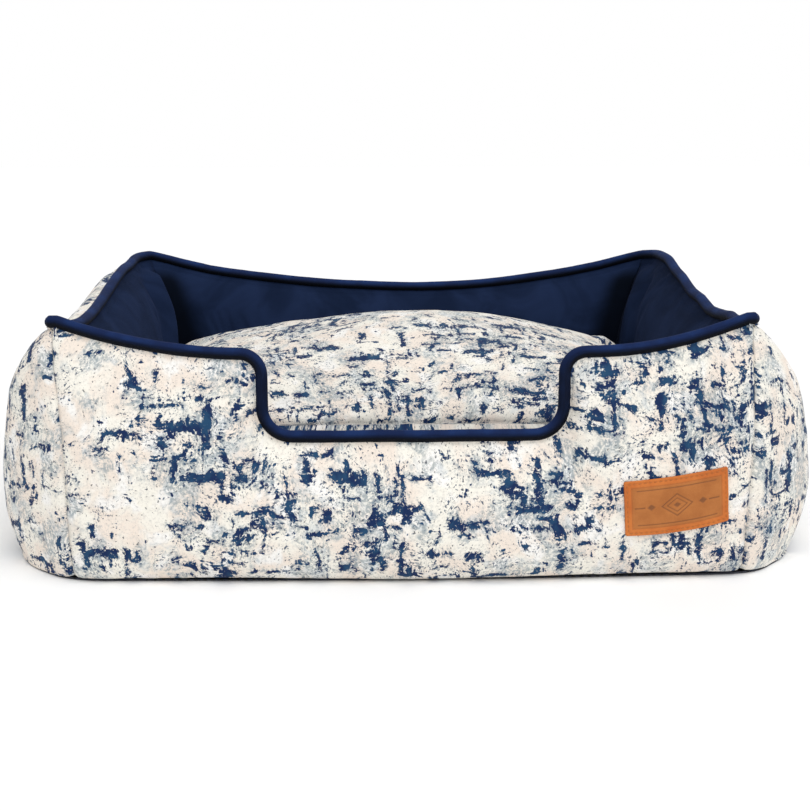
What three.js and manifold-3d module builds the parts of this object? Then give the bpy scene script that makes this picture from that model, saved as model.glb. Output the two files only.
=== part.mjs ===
// A rectangular pet bed: four stuffed walls round a loose, crowned cushion, with a low doorway in
// the front wall. Each wall is a printed outer panel and a velvet lining over a loose fill. Piping
// closes the seam along the top. Millimetres, +Z up, the doorway facing -Y, the bed standing on Z = 0.
import * as THREE from "three";
import { mergeVertices } from "three/addons/utils/BufferGeometryUtils.js";
import Module from "manifold-3d";

// Wall seam along the top, which is the centre line of the piping.
const SEAM_HALF_X = 299;
const SEAM_HALF_Y = 252;
const SEAM_HEIGHT = 219; // at the four corners
const FRONT_CORNER_RADIUS = 6;
const BACK_CORNER_RADIUS = 42;
const SIDE_SAG = 12;
const SIDE_SAG_SHIFT = 2.2; // moves the lowest point of the side seams towards the front
const BACK_SAG = 38;
const FRONT_BOW = 17;
const BACK_BOW = 5;

// Doorway in the front wall.
const DOOR_HALF_WIDTH = 128;
const DOOR_SILL = 122;
const SHOULDER_DROP = 26;
const SHOULDER_RADIUS = 18;
const SILL_RADIUS = 25;

// Fabric and stuffing.
const FABRIC = 1.6;
const GAP = 0.35;
const PIPING_RADIUS = 5.25;
const PIPING_WALL = 1;
const EDGE_OFFSET = 3.4; // from the seam line out to a wall face's top edge
const CORNER_TRIM = 0.225; // off each end of a wall face, which keeps it clear of the next wall
const FLOOR_INSET = 3 * GAP; // from the walls in to the edge of a flat panel

// Rings that shape the walls, from the floor up: half sizes, corner radii, how far the middle of a
// side swells past its corners, and height as a share of the seam's height at that place. Each wall
// section is a cubic curve from the first ring to the seam.
const OUTER_RINGS = [
  { x: 345, y: 279, front: 76, back: 76, sideBow: 17, frontBow: 8, z: 0.0015 },
  { x: 357, y: 305, front: 122, back: 122, sideBow: 34, frontBow: 10, z: 0.03 },
  { x: 365, y: 300, front: 115, back: 115, sideBow: 34, frontBow: 8, z: 0.67 },
];
const INNER_RINGS = [
  { x: 247, y: 203, front: 32, back: 32, sideBow: 0, frontBow: 0, z: 0.0115 },
  { x: 248, y: 204, front: 32, back: 32, sideBow: 0, frontBow: 0, z: 0.36 },
  { x: 263, y: 217, front: 24, back: 34, sideBow: 0, frontBow: 0, z: 0.74 },
];
const WALL_STEPS = 7;
const ARC_STEPS = 2;
const STRAIGHT_STEPS = 8;
const FLOOR_STEPS = 6;

// Loose cushion.
const CUSHION_HALF_X = 254;
const CUSHION_HALF_Y = 210;
const CUSHION_CORNER = 60;
const CUSHION_SEAM_Z = 116;
const CUSHION_CROWN = 72;
const CROWN_REACH = 1.5; // a higher value keeps the crown flat for longer on the way out to the seam
const CROWN_ROUNDING = 0.625; // a lower value turns down more steeply at the seam
const CUSHION_BOTTOM = 4.5;
const CUSHION_RINGS = [1, 0.97, 0.9, 0.78, 0.6, 0.35];
const CUSHION_STEPS = 5;
// Section of the cushion's lower half between the seam and the floor, in from the seam and up.
const LOWER_BULGE = { inset: 4, z: 50 };
const LOWER_TURN_INSET = 20;
const LOWER_FOOT_INSET = 58;

// Zips. The bolster's pull tab turns over just above the floor, and the cushion's is short because
// it turns over in the space beside the lining.
const BOLSTER_ZIP = { length: 420, tab: 19, place: 0.17 }; // share of the way up the back wall
const CUSHION_ZIP = { length: 340, tab: 12.5, place: 0.62 }; // share of the way down the lower half
const TAPE_WIDTH = 11;
const TAPE_THICKNESS = 0.8;
const COIL_WIDTH = 2.3;
const COIL_HEIGHT = 1.6;
const COIL_GAP = 0.6; // from the middle of the zip to each coil
const COIL_BEVEL = 0.5;
const STOP_LENGTH = 3;
const SLIDER_LENGTH = 12;
const SLIDER_PLATE = 1.2;
const SLIDER_START = 1; // from the end of the coils to the slider at rest
const BAIL_HEIGHT = 3.4;
const BAIL_BAR = 1.1;
const TAB_WIDTH = 7;
const TAB_NECK = 0.9; // width at the bail as a share of the width at the grip
const TAB_THICKNESS = 1.2;
const TAB_PIN = 0.8;
const TAB_EYE_WIDTH = 2.3;
const TAB_EYE_SPARE = 1; // of the eye's length past the bail
const COIL_BOTTOM = GAP + TAPE_THICKNESS + GAP;
const PLATE_BOTTOM = COIL_BOTTOM + COIL_HEIGHT + GAP;
const PLATE_TOP = PLATE_BOTTOM + SLIDER_PLATE;
const TAB_PIN_Z = PLATE_TOP + (BAIL_HEIGHT - BAIL_BAR) / 2;

// Care label beside the cushion's zip.
const CARE_LABEL = { width: 34, height: 22, thickness: 0.6, fromZip: 6 };

// Leather label on the front wall.
const LABEL = { x: 220, z: 70, width: 91, height: 47, tilt: 7.6, thickness: 2, lift: 3 * GAP };
const STITCHING = { inset: 3.5, thread: 0.5, opening: 4, lift: 3 * GAP, steps: 28 };

const SIDES = [
  { name: "front", along: new THREE.Vector3(1, 0, 0), out: new THREE.Vector3(0, -1, 0) },
  { name: "right", along: new THREE.Vector3(0, 1, 0), out: new THREE.Vector3(1, 0, 0) },
  { name: "back", along: new THREE.Vector3(-1, 0, 0), out: new THREE.Vector3(0, 1, 0) },
  { name: "left", along: new THREE.Vector3(0, -1, 0), out: new THREE.Vector3(-1, 0, 0) },
];

const bed = new THREE.Group();

function finish(color, roughness, metalness = 0) {
  return new THREE.MeshStandardMaterial({ color, roughness, metalness });
}

const PRINT = finish(0xe9e2d3, 0.85);
const VELVET = finish(0x1b2848, 0.8);
const PIPING = finish(0x1c3158, 0.6);
const BASE_CLOTH = finish(0x2b2e36, 0.9);
const STUFFING = finish(0xf4f4f2, 0.95);
const CORD = finish(0xe6e2d8, 0.9);
const LEATHER = finish(0xc4722f, 0.5);
const THREAD = finish(0xd9b98a, 0.7);
const TAPE = finish(0x20305a, 0.8);
const COIL = finish(0x2a3c6b, 0.4);
const METAL = finish(0x8f9299, 0.35, 0.9);
const CARE = finish(0xf2f0ea, 0.8);

function add(parent, name, geometry, material) {
  const mesh = new THREE.Mesh(geometry, material);
  mesh.name = name;
  parent.add(mesh);
  return mesh;
}

function lerp(a, b, t) {
  return a + (b - a) * t;
}

// ---------------------------------------------------------------- plan outline of the walls

// Radii of the corners that a side starts and ends at.
function cornerRadii(side, ring) {
  const radii = {
    front: [ring.front, ring.front],
    right: [ring.front, ring.back],
    back: [ring.back, ring.back],
    left: [ring.back, ring.front],
  };
  return radii[side.name];
}

// One point of a rounded rectangle. A station is the second half of a corner (part -1) or the
// first half of the next one (part 1), at 0 to 1 of its turn, or the straight stretch between them
// (part 0), at -1 to 1 of its length.
function planPoint(side, ring, station) {
  const alongX = side.along.x !== 0;
  const half = alongX ? ring.x : ring.y;
  const reach = alongX ? ring.y : ring.x;
  const radii = cornerRadii(side, ring);
  const ends = radii.map((radius) => half - radius * (1 - Math.SQRT1_2));
  if (station.part === 0) {
    const along = lerp(radii[0] - half, half - radii[1], (station.at + 1) / 2);
    return { along, out: reach + swell(side, ring, along, ends), turn: 0 };
  }
  const first = station.part < 0;
  const radius = radii[first ? 0 : 1];
  const turn = (Math.PI / 4) * (first ? station.at - 1 : station.at);
  const along = (first ? radius - half : half - radius) + radius * Math.sin(turn);
  const out = reach - radius * (1 - Math.cos(turn)) + swell(side, ring, along, ends);
  return { along, out, turn };
}

// How far a side swells out, which fades to nothing in the middle of each corner.
function swell(side, ring, along, [startEnd, finishEnd]) {
  const bows = { front: ring.frontBow, right: ring.sideBow, back: 0, left: ring.sideBow };
  const share = -1 + (2 * (along + startEnd)) / (startEnd + finishEnd);
  return bows[side.name] * (1 - share * share);
}

function place(side, along, out, z) {
  return new THREE.Vector3(0, 0, z).addScaledVector(side.along, along).addScaledVector(side.out, out);
}

// ---------------------------------------------------------------- stations round each side

function cornerStations(part) {
  const stations = [];
  for (let i = 0; i < ARC_STEPS; i++) {
    stations.push({ part, at: part < 0 ? i / ARC_STEPS : (i + 1) / ARC_STEPS });
  }
  return stations;
}

function straightStations(steps) {
  return Array.from({ length: steps + 1 }, (_, i) => ({ part: 0, at: -1 + (2 * i) / steps }));
}

// The left half of the front seam, from the corner down into the doorway, as places along the seam
// with the matching place along the lower rings.
function doorwayOutline() {
  const slopeEnd = 0.74;
  const sillStart = 0.46;
  const slopeSteps = 5;
  const bendSteps = 3;
  const cornerX = SEAM_HALF_X - FRONT_CORNER_RADIUS;
  const shoulderX = DOOR_HALF_WIDTH + SHOULDER_RADIUS;
  const shoulderZ = SEAM_HEIGHT - SHOULDER_DROP;
  const outline = [];
  for (let i = 0; i <= slopeSteps; i++) {
    const t = i / slopeSteps;
    const drop = SHOULDER_DROP * (1 - (1 - t) ** 2);
    outline.push({ x: lerp(cornerX, shoulderX, t), z: SEAM_HEIGHT - drop });
  }
  for (let i = 1; i <= bendSteps; i++) {
    const turn = (Math.PI / 2) * (i / bendSteps);
    outline.push({
      x: shoulderX - SHOULDER_RADIUS * Math.sin(turn),
      z: shoulderZ - SHOULDER_RADIUS * (1 - Math.cos(turn)),
    });
  }
  for (let i = 0; i <= bendSteps; i++) {
    const turn = (Math.PI / 2) * (i / bendSteps);
    outline.push({
      x: DOOR_HALF_WIDTH - SILL_RADIUS * (1 - Math.cos(turn)),
      z: DOOR_SILL + SILL_RADIUS * (1 - Math.sin(turn)),
    });
  }
  const jambSteps = outline.length - 1 - slopeSteps;
  return outline.map(({ x, z }, i) => {
    const slopePlace = lerp(1, slopeEnd, i / slopeSteps);
    const jambPlace = lerp(slopeEnd, sillStart, (i - slopeSteps) / jambSteps);
    return { part: 0, at: -(i <= slopeSteps ? slopePlace : jambPlace), seam: { x: -x, z } };
  });
}

function frontStations() {
  const sillSteps = 6;
  const left = doorwayOutline();
  const last = left[left.length - 1];
  const sill = [];
  for (let i = 1; i < sillSteps; i++) {
    const t = i / sillSteps;
    sill.push({
      part: 0,
      at: lerp(last.at, -last.at, t),
      seam: { x: lerp(last.seam.x, -last.seam.x, t), z: DOOR_SILL },
    });
  }
  const right = left
    .map(({ at, seam }) => ({ part: 0, at: -at, seam: { x: -seam.x, z: seam.z } }))
    .reverse();
  return [...left, ...sill, ...right];
}

function stationsOf(side) {
  const middle = side.name === "front" ? frontStations() : straightStations(STRAIGHT_STEPS);
  return [...cornerStations(-1), ...middle, ...cornerStations(1)];
}

// ---------------------------------------------------------------- the seam along the top

const SEAM_RING = {
  x: SEAM_HALF_X,
  y: SEAM_HALF_Y,
  front: FRONT_CORNER_RADIUS,
  back: BACK_CORNER_RADIUS,
  sideBow: 0,
  frontBow: 0,
};

// Place of a point between the middles of the two corners of its side, from -1 to 1.
function shareAlong(side, along) {
  const start = planPoint(side, SEAM_RING, { part: -1, at: 0 }).along;
  const end = planPoint(side, SEAM_RING, { part: 1, at: 1 }).along;
  return -1 + (2 * (along - start)) / (end - start);
}

function seamPoint(side, station) {
  const plan = planPoint(side, SEAM_RING, station);
  const along = station.seam ? station.seam.x : plan.along;
  const share = shareAlong(side, along);
  const arch = 1 - share * share;
  if (side.name === "front") {
    const z = station.seam ? station.seam.z : SEAM_HEIGHT;
    return place(side, along, plan.out + FRONT_BOW * arch, z);
  }
  if (side.name === "back") {
    return place(side, along, plan.out + BACK_BOW * arch, SEAM_HEIGHT - BACK_SAG * arch);
  }
  const towardsBack = side.name === "right" ? share : -share;
  const sag = SIDE_SAG * arch * (1 - SIDE_SAG_SHIFT * towardsBack);
  return place(side, along, plan.out, SEAM_HEIGHT - sag);
}

// The seam as one closed loop of stations, each with the wall's outward direction and the direction
// from the seam into the wall. A station in the middle of a corner is counted once.
function seamLoop() {
  const loop = SIDES.flatMap((side) =>
    stationsOf(side).slice(0, -1).map((station) => ({ side, station, point: seamPoint(side, station) })),
  );
  return loop.map(({ side, station, point }, i) => {
    const before = loop[(i + loop.length - 1) % loop.length].point;
    const after = loop[(i + 1) % loop.length].point;
    const { turn } = planPoint(side, SEAM_RING, station);
    const outward = side.out
      .clone()
      .multiplyScalar(Math.cos(turn))
      .addScaledVector(side.along, Math.sin(turn));
    const into = after.clone().sub(before).cross(outward).normalize();
    return { side, station, point, outward, into };
  });
}

// ---------------------------------------------------------------- surfaces and solids

// A surface is a list of points, the triangles between them, wound to face outwards, and a normal
// at each point. Its grid is made of columns, and closed joins the last one to the first.
function gridSurface(columns, closed = false) {
  const rows = columns[0].length;
  const index = [];
  const spans = closed ? columns.length : columns.length - 1;
  for (let i = 0; i < spans; i++) {
    const next = (i + 1) % columns.length;
    for (let j = 0; j + 1 < rows; j++) {
      const a = i * rows + j;
      const b = next * rows + j;
      index.push([a, b, b + 1], [a, b + 1, a + 1]);
    }
  }
  return withNormals(columns.flat(), index);
}

function withNormals(points, index) {
  const normals = points.map(() => new THREE.Vector3());
  for (const [a, b, c] of index) {
    const ab = points[b].clone().sub(points[a]);
    const ac = points[c].clone().sub(points[a]);
    const face = ab.cross(ac);
    for (const corner of [a, b, c]) normals[corner].add(face);
  }
  normals.forEach((normal) => normal.normalize());
  return { points, index, normals };
}

// The same surface moved along its normals: a positive depth goes under the surface.
function sunk({ points, index, normals }, depth) {
  const moved = points.map((point, i) => point.clone().addScaledVector(normals[i], -depth));
  return { points: moved, index, normals };
}

// The closed solid between two surfaces that share their triangles.
function solidBetween(front, rear) {
  const offset = front.points.length;
  const triangles = [];
  const edges = new Map();
  for (const [a, b, c] of front.index) {
    triangles.push([a, b, c], [c + offset, b + offset, a + offset]);
    for (const [from, to] of [[a, b], [b, c], [c, a]]) {
      if (!edges.delete(`${to},${from}`)) edges.set(`${from},${to}`, [from, to]);
    }
  }
  // The rim strip's diagonals all run from the lower point, so two neighbours' ends match.
  for (const [from, to] of edges.values()) {
    if (from < to) triangles.push([from, from + offset, to + offset], [from, to + offset, to]);
    else triangles.push([from, from + offset, to], [from + offset, to + offset, to]);
  }
  const flat = [...front.points, ...rear.points].flatMap((point) => point.toArray());
  const geometry = new THREE.BufferGeometry();
  geometry.setAttribute("position", new THREE.Float32BufferAttribute(flat, 3));
  geometry.setIndex(triangles.flat());
  return geometry;
}

// ---------------------------------------------------------------- the walls

// One face of all four walls: the outer face where sign is 1, the lining where it is -1. It stops
// short of the piping along the seam.
function wallFace(rings, sign) {
  const seamClearance = PIPING_RADIUS + GAP;
  const columns = seamLoop().map(({ side, station, point, outward, into }) => {
    const edge = point
      .clone()
      .addScaledVector(into, seamClearance)
      .addScaledVector(outward, sign * EDGE_OFFSET);
    return wallSection(rings, side, station, point.z, edge).getPoints(WALL_STEPS);
  });
  return gridSurface(columns, true);
}

// The section of a wall face at one station: a cubic curve from the floor ring to the edge.
function wallSection(rings, side, station, seamHeight, edge) {
  const controls = rings.map((ring, i) => {
    const { along, out } = planPoint(side, ring, station);
    return place(side, along, out, ring.z * (i === 0 ? SEAM_HEIGHT : seamHeight));
  });
  return new THREE.CubicBezierCurve3(...controls, edge);
}

// The stretch of a wall face on one side, sunk to a depth and trimmed clear of its neighbours.
function stretchOf(face, side, depth) {
  const rows = WALL_STEPS + 1;
  const before = SIDES.slice(0, SIDES.indexOf(side));
  const start = before.reduce((count, { name }) => count + columnSpans(name), 0);
  const total = face.points.length / rows;
  const { points } = sunk(face, depth);
  const columns = Array.from({ length: columnSpans(side.name) + 1 }, (_, i) => {
    const from = ((start + i) % total) * rows;
    return points.slice(from, from + rows).map((point) => point.clone());
  });
  const last = columns.length - 1;
  for (const [end, inner] of [[0, 1], [last, last - 1]]) {
    columns[end].forEach((point, j) => {
      const inwards = columns[inner][j].clone().sub(point).normalize();
      point.addScaledVector(inwards, CORNER_TRIM);
    });
  }
  return gridSurface(columns);
}

function columnSpans(sideName) {
  return stationsOf(SIDES.find(({ name }) => name === sideName)).length - 1;
}

function buildWalls() {
  const outer = wallFace(OUTER_RINGS, 1);
  const lining = wallFace(INNER_RINGS, -1);
  // The layers of the outer wall stack straight up from the floor along its foot.
  outer.normals.filter((_, i) => i % (WALL_STEPS + 1) === 0).forEach((normal) => normal.set(0, 0, -1));
  const fillDepth = FABRIC + 2 * GAP;
  for (const side of SIDES) {
    const layer = (face, depth) => stretchOf(face, side, depth);
    const panel = solidBetween(layer(outer, 0), layer(outer, FABRIC));
    const inside = solidBetween(layer(lining, -FABRIC), layer(lining, 0));
    const fill = solidBetween(layer(outer, fillDepth), layer(lining, -fillDepth));
    add(bed, `${side.name}_outer_panel`, panel, PRINT);
    add(bed, `${side.name}_lining`, inside, VELVET);
    add(bed, `${side.name}_bolster_fill`, fill, STUFFING);
  }
}

// ---------------------------------------------------------------- the piping

// A curve through given points, one step for each.
class SeamCurve extends THREE.Curve {
  constructor(points) {
    super();
    this.points = points;
  }
  getPoint(t) {
    const last = this.points.length - 1;
    const step = Math.min(Math.floor(t * last), last - 1);
    return this.points[step].clone().lerp(this.points[step + 1], t * last - step);
  }
  getPointAt(t) {
    return this.getPoint(t);
  }
  getTangentAt(t) {
    const last = this.points.length - 1;
    const step = Math.round(t * last);
    const before = this.points[Math.max(step - 1, 0)];
    const after = this.points[Math.min(step + 1, last)];
    return after.clone().sub(before).normalize();
  }
}

function circle(radius) {
  const sides = 8;
  const turns = Array.from({ length: sides }, (_, i) => (2 * Math.PI * i) / sides);
  return turns.map((turn) => new THREE.Vector2(radius * Math.cos(turn), radius * Math.sin(turn)));
}

function buildPiping(name, points) {
  const sweep = { extrudePath: new SeamCurve(points), steps: points.length - 1, bevelEnabled: false };
  const cover = new THREE.Shape(circle(PIPING_RADIUS));
  cover.holes.push(new THREE.Path(circle(PIPING_RADIUS - PIPING_WALL)));
  const cord = new THREE.Shape(circle(PIPING_RADIUS - PIPING_WALL - GAP));
  add(bed, `${name}_piping_cover`, new THREE.ExtrudeGeometry(cover, sweep), PIPING);
  add(bed, `${name}_piping_cord`, new THREE.ExtrudeGeometry(cord, sweep), CORD);
}

function seamPoints(side) {
  return stationsOf(side).map((station) => seamPoint(side, station));
}

function buildPipings() {
  const front = seamPoints(SIDES[0]).slice(ARC_STEPS, -ARC_STEPS);
  front.unshift(new THREE.Vector3(-SEAM_HALF_X, -SEAM_HALF_Y, SEAM_HEIGHT));
  front.push(new THREE.Vector3(SEAM_HALF_X, -SEAM_HALF_Y, SEAM_HEIGHT));
  buildPiping("front", front);

  const [right, back, left] = SIDES.slice(1).map(seamPoints);
  const rim = [...right.slice(ARC_STEPS + 1), ...back.slice(1), ...left.slice(1, -ARC_STEPS - 1)];
  const startY = PIPING_RADIUS + GAP - SEAM_HALF_Y;
  rim.unshift(new THREE.Vector3(SEAM_HALF_X, startY, SEAM_HEIGHT));
  rim.push(new THREE.Vector3(-SEAM_HALF_X, startY, SEAM_HEIGHT));
  buildPiping("rim", rim);
}

// ---------------------------------------------------------------- the base and the inner floor

// A ring as a closed list of points, with the corner middles counted once.
function ringPoints(ring, z, steps) {
  return SIDES.flatMap((side) => {
    const stations = [...cornerStations(-1), ...straightStations(steps), ...cornerStations(1)];
    return stations.slice(0, -1).map((station) => {
      const { along, out } = planPoint(side, ring, station);
      return place(side, along, out, z);
    });
  });
}

function shrunk(ring, by) {
  return { ...ring, x: ring.x - by, y: ring.y - by, front: ring.front - by, back: ring.back - by };
}

function buildFlatPanel(name, ring, bottom, material) {
  const around = ringPoints(shrunk(ring, FLOOR_INSET), 0, FLOOR_STEPS);
  const outline = around.map(({ x, y }) => new THREE.Vector2(x, y));
  const options = { depth: FABRIC, bevelEnabled: false };
  const geometry = new THREE.ExtrudeGeometry(new THREE.Shape(outline), options);
  add(bed, name, geometry.translate(0, 0, bottom), material);
}

// ---------------------------------------------------------------- the cushion

// A dome over the ring points, closed by a single point in its middle. Its normals are level along
// the seam, so that layers under it end at the same height.
function domeSurface(rings, centre) {
  const around = rings[0].length;
  const index = [];
  for (let r = 0; r + 1 < rings.length; r++) {
    for (let i = 0; i < around; i++) {
      const a = r * around + i;
      const b = r * around + ((i + 1) % around);
      index.push([a, b, b + around], [a, b + around, a + around]);
    }
  }
  const last = (rings.length - 1) * around;
  for (let i = 0; i < around; i++) {
    index.push([last + i, last + ((i + 1) % around), rings.length * around]);
  }
  const dome = withNormals([...rings.flat(), centre], index);
  dome.normals.slice(0, around).forEach((normal) => normal.setZ(0).normalize());
  return dome;
}

const CUSHION_RING = {
  x: CUSHION_HALF_X,
  y: CUSHION_HALF_Y,
  front: CUSHION_CORNER,
  back: CUSHION_CORNER,
  sideBow: 0,
  frontBow: 0,
};

function cushionTop() {
  const seam = CUSHION_SEAM_Z + GAP / 2;
  const rings = CUSHION_RINGS.map((share) => {
    const ring = {
      ...CUSHION_RING,
      x: CUSHION_HALF_X * share,
      y: CUSHION_HALF_Y * share,
      front: CUSHION_CORNER * share,
      back: CUSHION_CORNER * share,
    };
    const rise = CUSHION_CROWN * (1 - share ** CROWN_REACH) ** CROWN_ROUNDING;
    return ringPoints(ring, seam + rise, CUSHION_STEPS);
  });
  return domeSurface(rings, new THREE.Vector3(0, 0, seam + CUSHION_CROWN));
}

// Section of the cushion's lower half: how far it draws in from the seam, against height.
const LOWER_SECTION = new THREE.CubicBezierCurve(
  new THREE.Vector2(0, CUSHION_SEAM_Z - GAP / 2),
  new THREE.Vector2(LOWER_BULGE.inset, LOWER_BULGE.z),
  new THREE.Vector2(LOWER_TURN_INSET, CUSHION_BOTTOM),
  new THREE.Vector2(LOWER_FOOT_INSET, CUSHION_BOTTOM),
);

function cushionBottom() {
  const rings = LOWER_SECTION.getPoints(CUSHION_RINGS.length - 1).map(({ x, y }) =>
    ringPoints(shrunk(CUSHION_RING, x), y, CUSHION_STEPS),
  );
  return domeSurface(rings, new THREE.Vector3(0, 0, CUSHION_BOTTOM));
}

function buildCushion(parent) {
  const top = cushionTop();
  const bottom = cushionBottom();
  const depth = FABRIC + GAP;
  add(parent, "cushion_top_cover", solidBetween(top, sunk(top, FABRIC)), PRINT);
  add(parent, "cushion_bottom_cover", solidBetween(sunk(bottom, -FABRIC), bottom), PRINT);
  add(parent, "cushion_insert", solidBetween(sunk(top, depth), sunk(bottom, -depth)), STUFFING);
}

// ---------------------------------------------------------------- zips

function box(xFrom, xTo, yFrom, yTo, zFrom, zTo) {
  const geometry = new THREE.BoxGeometry(xTo - xFrom, yTo - yFrom, zTo - zFrom);
  return geometry.translate((xFrom + xTo) / 2, (yFrom + yTo) / 2, (zFrom + zTo) / 2);
}

// An outline across the zip, in Y and Z, drawn out along X from one place to another.
function alongZip(outline, from, to) {
  const shape = new THREE.Shape(outline.map(([y, z]) => new THREE.Vector2(y, z)));
  const options = { depth: to - from, bevelEnabled: false };
  const geometry = new THREE.ExtrudeGeometry(shape, options);
  const turn = new THREE.Matrix4().makeBasis(
    new THREE.Vector3(0, 1, 0),
    new THREE.Vector3(0, 0, 1),
    new THREE.Vector3(1, 0, 0),
  );
  return geometry.applyMatrix4(turn).translate(from, 0, 0);
}

// An outline in the plane of X and Z, drawn out across the zip.
function acrossZip(outline, from, to) {
  const shape = new THREE.Shape(outline.map(([x, z]) => new THREE.Vector2(x, z)));
  const options = { depth: to - from, bevelEnabled: false };
  const geometry = new THREE.ExtrudeGeometry(shape, options);
  return geometry.rotateX(Math.PI / 2).translate(0, to, 0);
}

function coilOutline(sign) {
  const inner = COIL_GAP;
  const outer = COIL_GAP + COIL_WIDTH;
  const top = COIL_BOTTOM + COIL_HEIGHT;
  const outline = [
    [inner, COIL_BOTTOM],
    [outer - COIL_BEVEL, COIL_BOTTOM],
    [outer, COIL_BOTTOM + COIL_BEVEL],
    [outer, top - COIL_BEVEL],
    [outer - COIL_BEVEL, top],
    [inner, top],
  ];
  return sign > 0 ? outline : outline.map(([y, z]) => [-y, z]).reverse();
}

// The slider's section: a top plate with a lip down each side and a thin web between the coils.
function sliderSection() {
  const lipInner = COIL_GAP + COIL_WIDTH + GAP;
  const lipOuter = lipInner + SLIDER_PLATE;
  const web = COIL_GAP - GAP;
  const half = [
    [web, COIL_BOTTOM],
    [web, PLATE_BOTTOM],
    [lipInner, PLATE_BOTTOM],
    [lipInner, COIL_BOTTOM],
    [lipOuter, COIL_BOTTOM],
    [lipOuter, PLATE_TOP],
  ];
  return [...half, ...half.map(([y, z]) => [-y, z]).reverse()];
}

// The bail: an arch along the top of the slider that the pull tab hangs from.
function bailOutline() {
  const reach = SLIDER_LENGTH / 3;
  const top = PLATE_TOP + BAIL_HEIGHT;
  const sunkIn = PLATE_TOP - SLIDER_PLATE / 2;
  return [
    [-reach, sunkIn],
    [-reach + BAIL_BAR, sunkIn],
    [-reach + BAIL_BAR, top - BAIL_BAR],
    [reach - BAIL_BAR, top - BAIL_BAR],
    [reach - BAIL_BAR, sunkIn],
    [reach, sunkIn],
    [reach, top - BAIL_BAR / 2],
    [reach - BAIL_BAR, top],
    [-reach + BAIL_BAR, top],
    [-reach, top - BAIL_BAR / 2],
  ];
}

function tabGeometry(length) {
  const half = TAB_WIDTH / 2;
  const neck = half * TAB_NECK;
  const outline = new THREE.Shape();
  outline.moveTo(-TAB_PIN, -neck);
  outline.lineTo(length - half, -half);
  outline.absarc(length - half, 0, half, -Math.PI / 2, Math.PI / 2, false);
  outline.lineTo(-TAB_PIN, neck);
  const eyeHalf = TAB_EYE_WIDTH / 2;
  const eyeEnd = SLIDER_LENGTH / 3 + TAB_EYE_SPARE;
  const eye = new THREE.Path();
  eye.moveTo(TAB_PIN, -eyeHalf);
  eye.lineTo(eyeEnd, -eyeHalf);
  eye.lineTo(eyeEnd, eyeHalf);
  eye.lineTo(TAB_PIN, eyeHalf);
  outline.holes.push(eye);
  const options = { depth: TAB_THICKNESS, bevelEnabled: false, curveSegments: 6 };
  const tab = new THREE.ExtrudeGeometry(outline, options);
  return tab.translate(0, 0, TAB_PIN_Z - TAB_THICKNESS / 2);
}

// Two closed meshes joined into one solid.
function joined(wasm, first, second) {
  const solids = [first, second].map((geometry) => {
    const bare = new THREE.BufferGeometry();
    bare.setAttribute("position", geometry.getAttribute("position").clone());
    if (geometry.index) bare.setIndex(geometry.index.clone());
    const merged = mergeVertices(bare, 1e-4);
    return new wasm.Manifold(
      new wasm.Mesh({
        numProp: 3,
        vertProperties: merged.attributes.position.array,
        triVerts: new Uint32Array(merged.index.array),
      }),
    );
  });
  const mesh = solids[0].add(solids[1]).getMesh();
  const geometry = new THREE.BufferGeometry();
  geometry.setAttribute("position", new THREE.BufferAttribute(mesh.vertProperties, 3));
  geometry.setIndex(new THREE.BufferAttribute(mesh.triVerts, 1));
  return geometry;
}

// A whole zip along X. Its group's Z is the outward direction of the fabric under it, and its Y
// points down. The slider starts at the closed end, at the low end of X.
function buildZip(wasm, parent, name, size) {
  const half = size.length / 2;
  const coilHalf = half - STOP_LENGTH - GAP;
  const inner = COIL_GAP / 2;
  const tapeTop = GAP + TAPE_THICKNESS;
  const lowerTape = box(-half, half, inner, inner + TAPE_WIDTH, GAP, tapeTop);
  const upperTape = box(-half, half, -inner - TAPE_WIDTH, -inner, GAP, tapeTop);
  add(parent, `${name}_upper_tape`, upperTape, TAPE);
  add(parent, `${name}_lower_tape`, lowerTape, TAPE);
  add(parent, `${name}_lower_coil`, alongZip(coilOutline(1), -coilHalf, coilHalf), COIL);
  add(parent, `${name}_upper_coil`, alongZip(coilOutline(-1), -coilHalf, coilHalf), COIL);
  const stopHalf = COIL_GAP + COIL_WIDTH;
  const stopTop = COIL_BOTTOM + COIL_HEIGHT;
  const stops = [["closed_stop", -half], ["open_stop", half - STOP_LENGTH]];
  for (const [end, from] of stops) {
    const block = box(from, from + STOP_LENGTH, -stopHalf, stopHalf, COIL_BOTTOM, stopTop);
    add(parent, `${name}_${end}`, block, METAL);
  }
  const slider = new THREE.Group();
  slider.position.x = -coilHalf + SLIDER_LENGTH / 2 + SLIDER_START;
  parent.add(slider);
  const body = alongZip(sliderSection(), -SLIDER_LENGTH / 2, SLIDER_LENGTH / 2);
  const bail = acrossZip(bailOutline(), -BAIL_BAR / 2, BAIL_BAR / 2);
  add(slider, `${name}_slider`, joined(wasm, body, bail), METAL);
  add(slider, `${name}_pull_tab`, tabGeometry(size.tab), METAL);
}

// Turns a group so that its Z follows a direction in the plane of Y and Z.
function faceAlong(group, y, z) {
  group.rotation.x = Math.atan2(-y, z);
}

function buildBolsterZip(wasm) {
  const section = wallSectionAtBack();
  const at = section.getPoint(BOLSTER_ZIP.place);
  const rise = section.getTangent(BOLSTER_ZIP.place);
  const zip = new THREE.Group();
  zip.position.set(0, at.y, at.z);
  faceAlong(zip, rise.z, -rise.y);
  bed.add(zip);
  buildZip(wasm, zip, "bolster_zip", BOLSTER_ZIP);
}

function wallSectionAtBack() {
  const back = SIDES[2];
  const station = { part: 0, at: 0 };
  const edge = seamPoint(back, station);
  return wallSection(OUTER_RINGS, back, station, edge.z, edge);
}

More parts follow.
